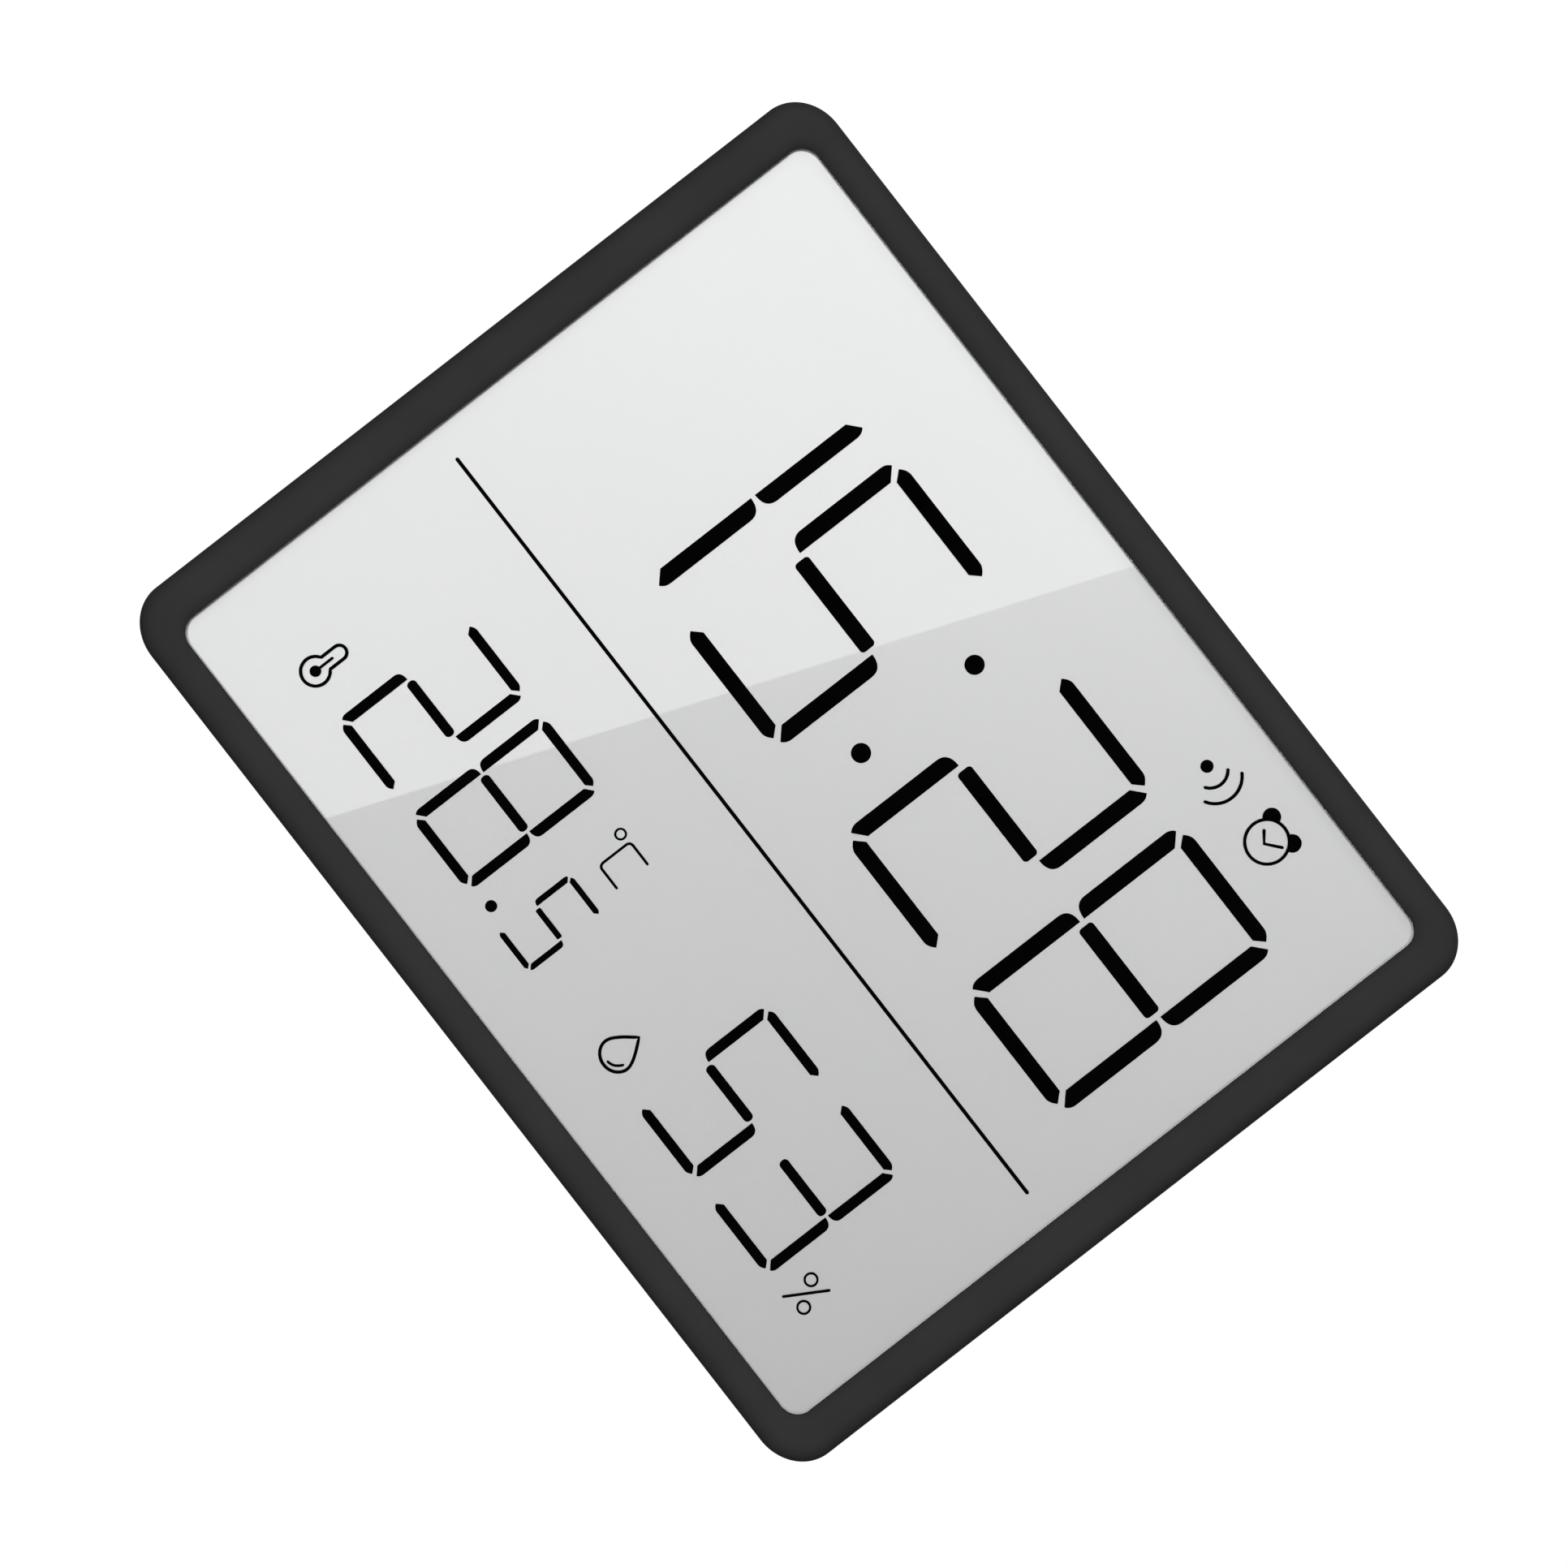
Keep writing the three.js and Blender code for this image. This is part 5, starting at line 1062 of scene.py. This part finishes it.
# Circuit board laminate, with tracks showing through the green mask
def boardLaminate(scale, mask, fade, track):
    material, tree = newMaterial("boardLaminate")
    place = objectPlace(tree)
    cells = addNode(tree, "ShaderNodeTexVoronoi", {"Vector": place, "Scale": scale},
                    feature="DISTANCE_TO_EDGE").outputs["Distance"]
    away = addNode(tree, "ShaderNodeMapRange", {"Value": cells, "From Min": 0.05, "From Max": 0.09})
    green = mixColours(tree, noiseMap(tree, place, 60.0, 2.0, 0.0, 0.25), mask, fade)
    bump = addNode(tree, "ShaderNodeBump", {
        "Height": away, "Strength": 0.3, "Distance": 0.04 * mm}, invert=True)
    return finishMaterial(material, addNode(tree, "ShaderNodeBsdfPrincipled", {
        "Base Color": mixColours(tree, away, track, green),
        "Roughness": noiseMap(tree, place, 500.0, 2.0, 0.3, 0.4), "Normal": bump}))


laminate = boardLaminate(scale=260.0, mask=(0.008, 0.085, 0.03), fade=(0.012, 0.11, 0.04),
                         track=(0.03, 0.2, 0.075))
leadFinish = {"roughness": (0.4, 0.5), "specular": 0.4, "mottleScale": 200.0, "grainScale": 3000.0,
              "grain": 0.15, "edge": 0.05}
smallPlastics = {
    "blackTape": {"dark": 0.006, "light": 0.009, "roughness": (0.75, 0.85), "specular": 0.2,
                  "mottleScale": 80.0, "grainScale": 4000.0, "grain": 0.2},
    "whiteCarrier": {"dark": 0.66, "light": 0.74, "roughness": (0.5, 0.6), "mottleScale": 40.0,
                     "grain": 0.3, "edge": 0.2},
    "blackEpoxy": {"dark": 0.006, "light": 0.01, "roughness": (0.22, 0.34), "specular": 0.5,
                   "grainScale": 2000.0, "edge": 0.1},
    "blackRubber": {"dark": 0.012, "light": 0.017, "roughness": (0.8, 0.9), "specular": 0.2,
                    "mottleScale": 300.0, "grainScale": 5000.0, "grain": 0.4, "edge": 0.1},
    "redLead": {"dark": (0.36, 0.012, 0.01), "light": (0.44, 0.018, 0.014)},
    "blackLead": {"dark": 0.009, "light": 0.013},
    "greyRibbon": {"dark": 0.3, "light": 0.38, "roughness": (0.5, 0.6), "specular": 0.3,
                   "mottleScale": 500.0, "grain": 0.2},
}
tape, carrier, epoxy, rubber, redLead, blackLead, ribbon = (
    mouldedPlastic(name, **{**leadFinish, **finish}) for name, finish in smallPlastics.items())
buzzerBrass = wroughtMetal("buzzerBrass", **{
    "dark": (0.56, 0.38, 0.13), "light": (0.66, 0.46, 0.18), "scale": 700.0, "roughness": (0.28, 0.42),
    "stretch": (1.0, 1.0, 5.0)})

switchBodies = ["switch_body_%d" % index for index in range(1, 6)]
packages = ["controller_chip", "smoothing_capacitor", "humidity_sensor"]
finishedCopy("tapeRing", ["lens_tape"], tape, bevel=0.05)
finishedCopy("carrierPlate", ["display_carrier"], carrier)
finishedCopy("zebraRubber", ["zebra_strip"], rubber, bevel=0.1)
finishedCopy("boards", ["main_board", "sensor_board"], laminate, bevel=0.1)
finishedCopy("packages", packages, epoxy, smoothAngle=50)
finishedCopy("crystalCan", ["clock_crystal"], brightSteel, bevel=0.12, smoothAngle=45)
finishedCopy("switchCans", switchBodies, brightSteel, bevel=0.15)
for index, button in enumerate(buttonNames, 1):
    plunger = "switch_plunger_%d" % index
    finishedCopy("switchPin_%d" % index, [plunger], epoxy, bevel=0.1, body=button)
finishedCopy("buzzerPlate", ["buzzer_disc"], buzzerBrass, bevel=0.06)
finishedCopy("redWire", ["battery_lead_positive"], redLead, smoothAngle=75)
finishedCopy("blackWires", ["battery_lead_negative", "buzzer_lead"], blackLead, smoothAngle=75)
finishedCopy("sensorTape", ["sensor_ribbon"], ribbon, smoothAngle=75)
print("electronics finished")


# Studio: pale floor, soft lamps, and two panels near the camera that the window reflects.
# The panels' shared edge is the slanting edge of the reflection.

ambient = 0.08
floorShape = {"drop": 0.3, "size": 2.0, "fadeStart": 0.45, "fadeEnd": 0.95}
panels = {
    "reach": 0.92, "side": 104.0, "edge": (10.2, -52.6), "halfHeight": 84.0, "steps": 12,
    "leftGlow": (1.6, 1.31, 1.25, 0.94), "rightGlow": (1.45, 0.69, 0.79, 0.28),
    "sag": 0.12, "sagSides": 0.55, "sagEnds": 0.1, "tint": (0.98, 1.0, 0.993),
}
lamps = {
    "frontLamp": {"place": (-0.18, -2.2, 0.0), "size": 0.4, "power": 43.5},
    "keyLamp": {"place": (-0.6, -2.0, 0.6), "size": 0.5, "power": 6.0},
    "topLamp": {"place": (0.0, -0.45, 2.1), "size": 0.6, "power": 10.0},
    "backLamp": {"place": (0.15, 1.9, 0.6), "size": 1.2, "power": 30.0},
}


# White where a ray shows the background, and dim where it lights the object
def makeWorld():
    world = bpy.data.worlds.new("studioWorld")
    scene.world = world
    world.use_nodes = True
    tree = world.node_tree
    tree.nodes.clear()
    path = addNode(tree, "ShaderNodeLightPath").outputs
    seen = calculate(tree, "MAXIMUM", path["Is Camera Ray"], path["Is Glossy Ray"])
    seen = calculate(tree, "MAXIMUM", seen, path["Is Transmission Ray"])
    soft = addNode(tree, "ShaderNodeBackground", {"Color": rgb(1.0), "Strength": ambient})
    white = addNode(tree, "ShaderNodeBackground", {"Color": rgb(1.0), "Strength": 1.0})
    addNode(tree, "ShaderNodeOutputWorld", {"Surface": mixShaders(tree, seen, soft, white)})


# The floor fades to white away from the clock, and can't be seen from below
def makeFloor(drop, size, fadeStart, fadeEnd):
    half, z = size / 2, frameLow.z - drop
    corners = [(-half, -half, z), (half, -half, z), (half, half, z), (-half, half, z)]
    floor = linked("studioFloor", plainMesh("studioFloor", corners, [(0, 1, 2, 3)]))
    material, tree = newMaterial("studioFloor")
    place = objectPlace(tree)
    matt = addNode(tree, "ShaderNodeBsdfDiffuse", {"Color": noiseMap(tree, place, 8.0, 2.0, 0.88, 0.9)})
    away = addNode(tree, "ShaderNodeVectorMath", {0: place}, operation="LENGTH").outputs["Value"]
    fade = addNode(tree, "ShaderNodeMapRange", {"Value": away, "From Min": fadeStart, "From Max": fadeEnd})
    seen = addNode(tree, "ShaderNodeLightPath").outputs["Is Camera Ray"]
    white = addNode(tree, "ShaderNodeEmission", {"Color": rgb(1.0), "Strength": 1.0})
    ground = mixShaders(tree, calculate(tree, "MULTIPLY", fade, seen), matt, white)
    below = addNode(tree, "ShaderNodeNewGeometry").outputs["Backfacing"]
    clear = addNode(tree, "ShaderNodeBsdfTransparent")
    paintPiece(floor, finishMaterial(material, mixShaders(tree, below, ground, clear)))
    floor.visible_diffuse = False


def areaLamp(name, place, size, power):
    data = bpy.data.lights.new(name, "AREA")
    data.shape, data.size, data.energy = "SQUARE", size, power
    lamp = linked(name, data)
    lamp.location = place
    lamp.rotation_euler = (clockCentre - lamp.location).to_track_quat("-Z", "Y").to_euler()
    lamp.visible_glossy = False


# A point of the panels' plane, given the point of the window that shows it
def reflectedPlace(x, z):
    seen = Vector((x * mm, lensLow.y, clockCentre.z + z * mm))
    away = (seen - cameraPlace) * panels["reach"]
    return Vector((seen.x + away.x, seen.y - away.y, seen.z + away.z))


# A bow between 0 and 1 that is highest halfway, lifted so that its ends lie at the least value
def bow(least, t):
    return least + (1 - least) * max(4 * t * (1 - t), 0.0)


# Glow at the window's corners, top left, top right, bottom left and bottom right, blended between.
# It sags a little towards the window's middle.
def glowAt(x, z, corners):
    across = (x + windowHalfX) / (2 * windowHalfX)
    down = (windowTop - z) / (2 * windowHalfZ)
    topLeft, topRight, bottomLeft, bottomRight = corners
    top = topLeft + (topRight - topLeft) * across
    bottom = bottomLeft + (bottomRight - bottomLeft) * across
    sag = panels["sag"] * bow(panels["sagSides"], across) * bow(panels["sagEnds"], down)
    return max(top + (bottom - top) * down - sag, 0.0)


# A panel between two edges, each given by its places at the top and at the bottom
def makePanel(name, edges, corners):
    steps, vertices, glows, faces = panels["steps"], [], [], []
    for row in range(steps + 1):
        down = row / steps
        z = panels["halfHeight"] * (1 - 2 * down)
        left, right = (top + (bottom - top) * down for top, bottom in edges)
        for column in range(steps + 1):
            x = left + (right - left) * column / steps
            vertices.append(reflectedPlace(x, z))
            glows.append(glowAt(x, z, corners))
    for row in range(steps):
        for column in range(steps):
            first = row * (steps + 1) + column
            faces.append((first, first + 1, first + steps + 2, first + steps + 1))
    panel = linked(name, plainMesh(name, vertices, faces))
    panel.data.attributes.new("glow", "FLOAT", "POINT").data.foreach_set("value", glows)
    material, tree = newMaterial(name)
    level = addNode(tree, "ShaderNodeAttribute", attribute_name="glow").outputs["Fac"]
    glow = addNode(tree, "ShaderNodeEmission", {"Color": rgb(panels["tint"]), "Strength": level})
    paintPiece(panel, finishMaterial(material, glow))
    panel.visible_camera = panel.visible_diffuse = panel.visible_shadow = False


makeWorld()
makeFloor(**floorShape)
side = panels["side"]
makePanel("leftPanel", ((-side, -side), panels["edge"]), panels["leftGlow"])
makePanel("rightPanel", (panels["edge"], (side, side)), panels["rightGlow"])
for name, settings in lamps.items():
    areaLamp(name, **settings)
print("studio lit")
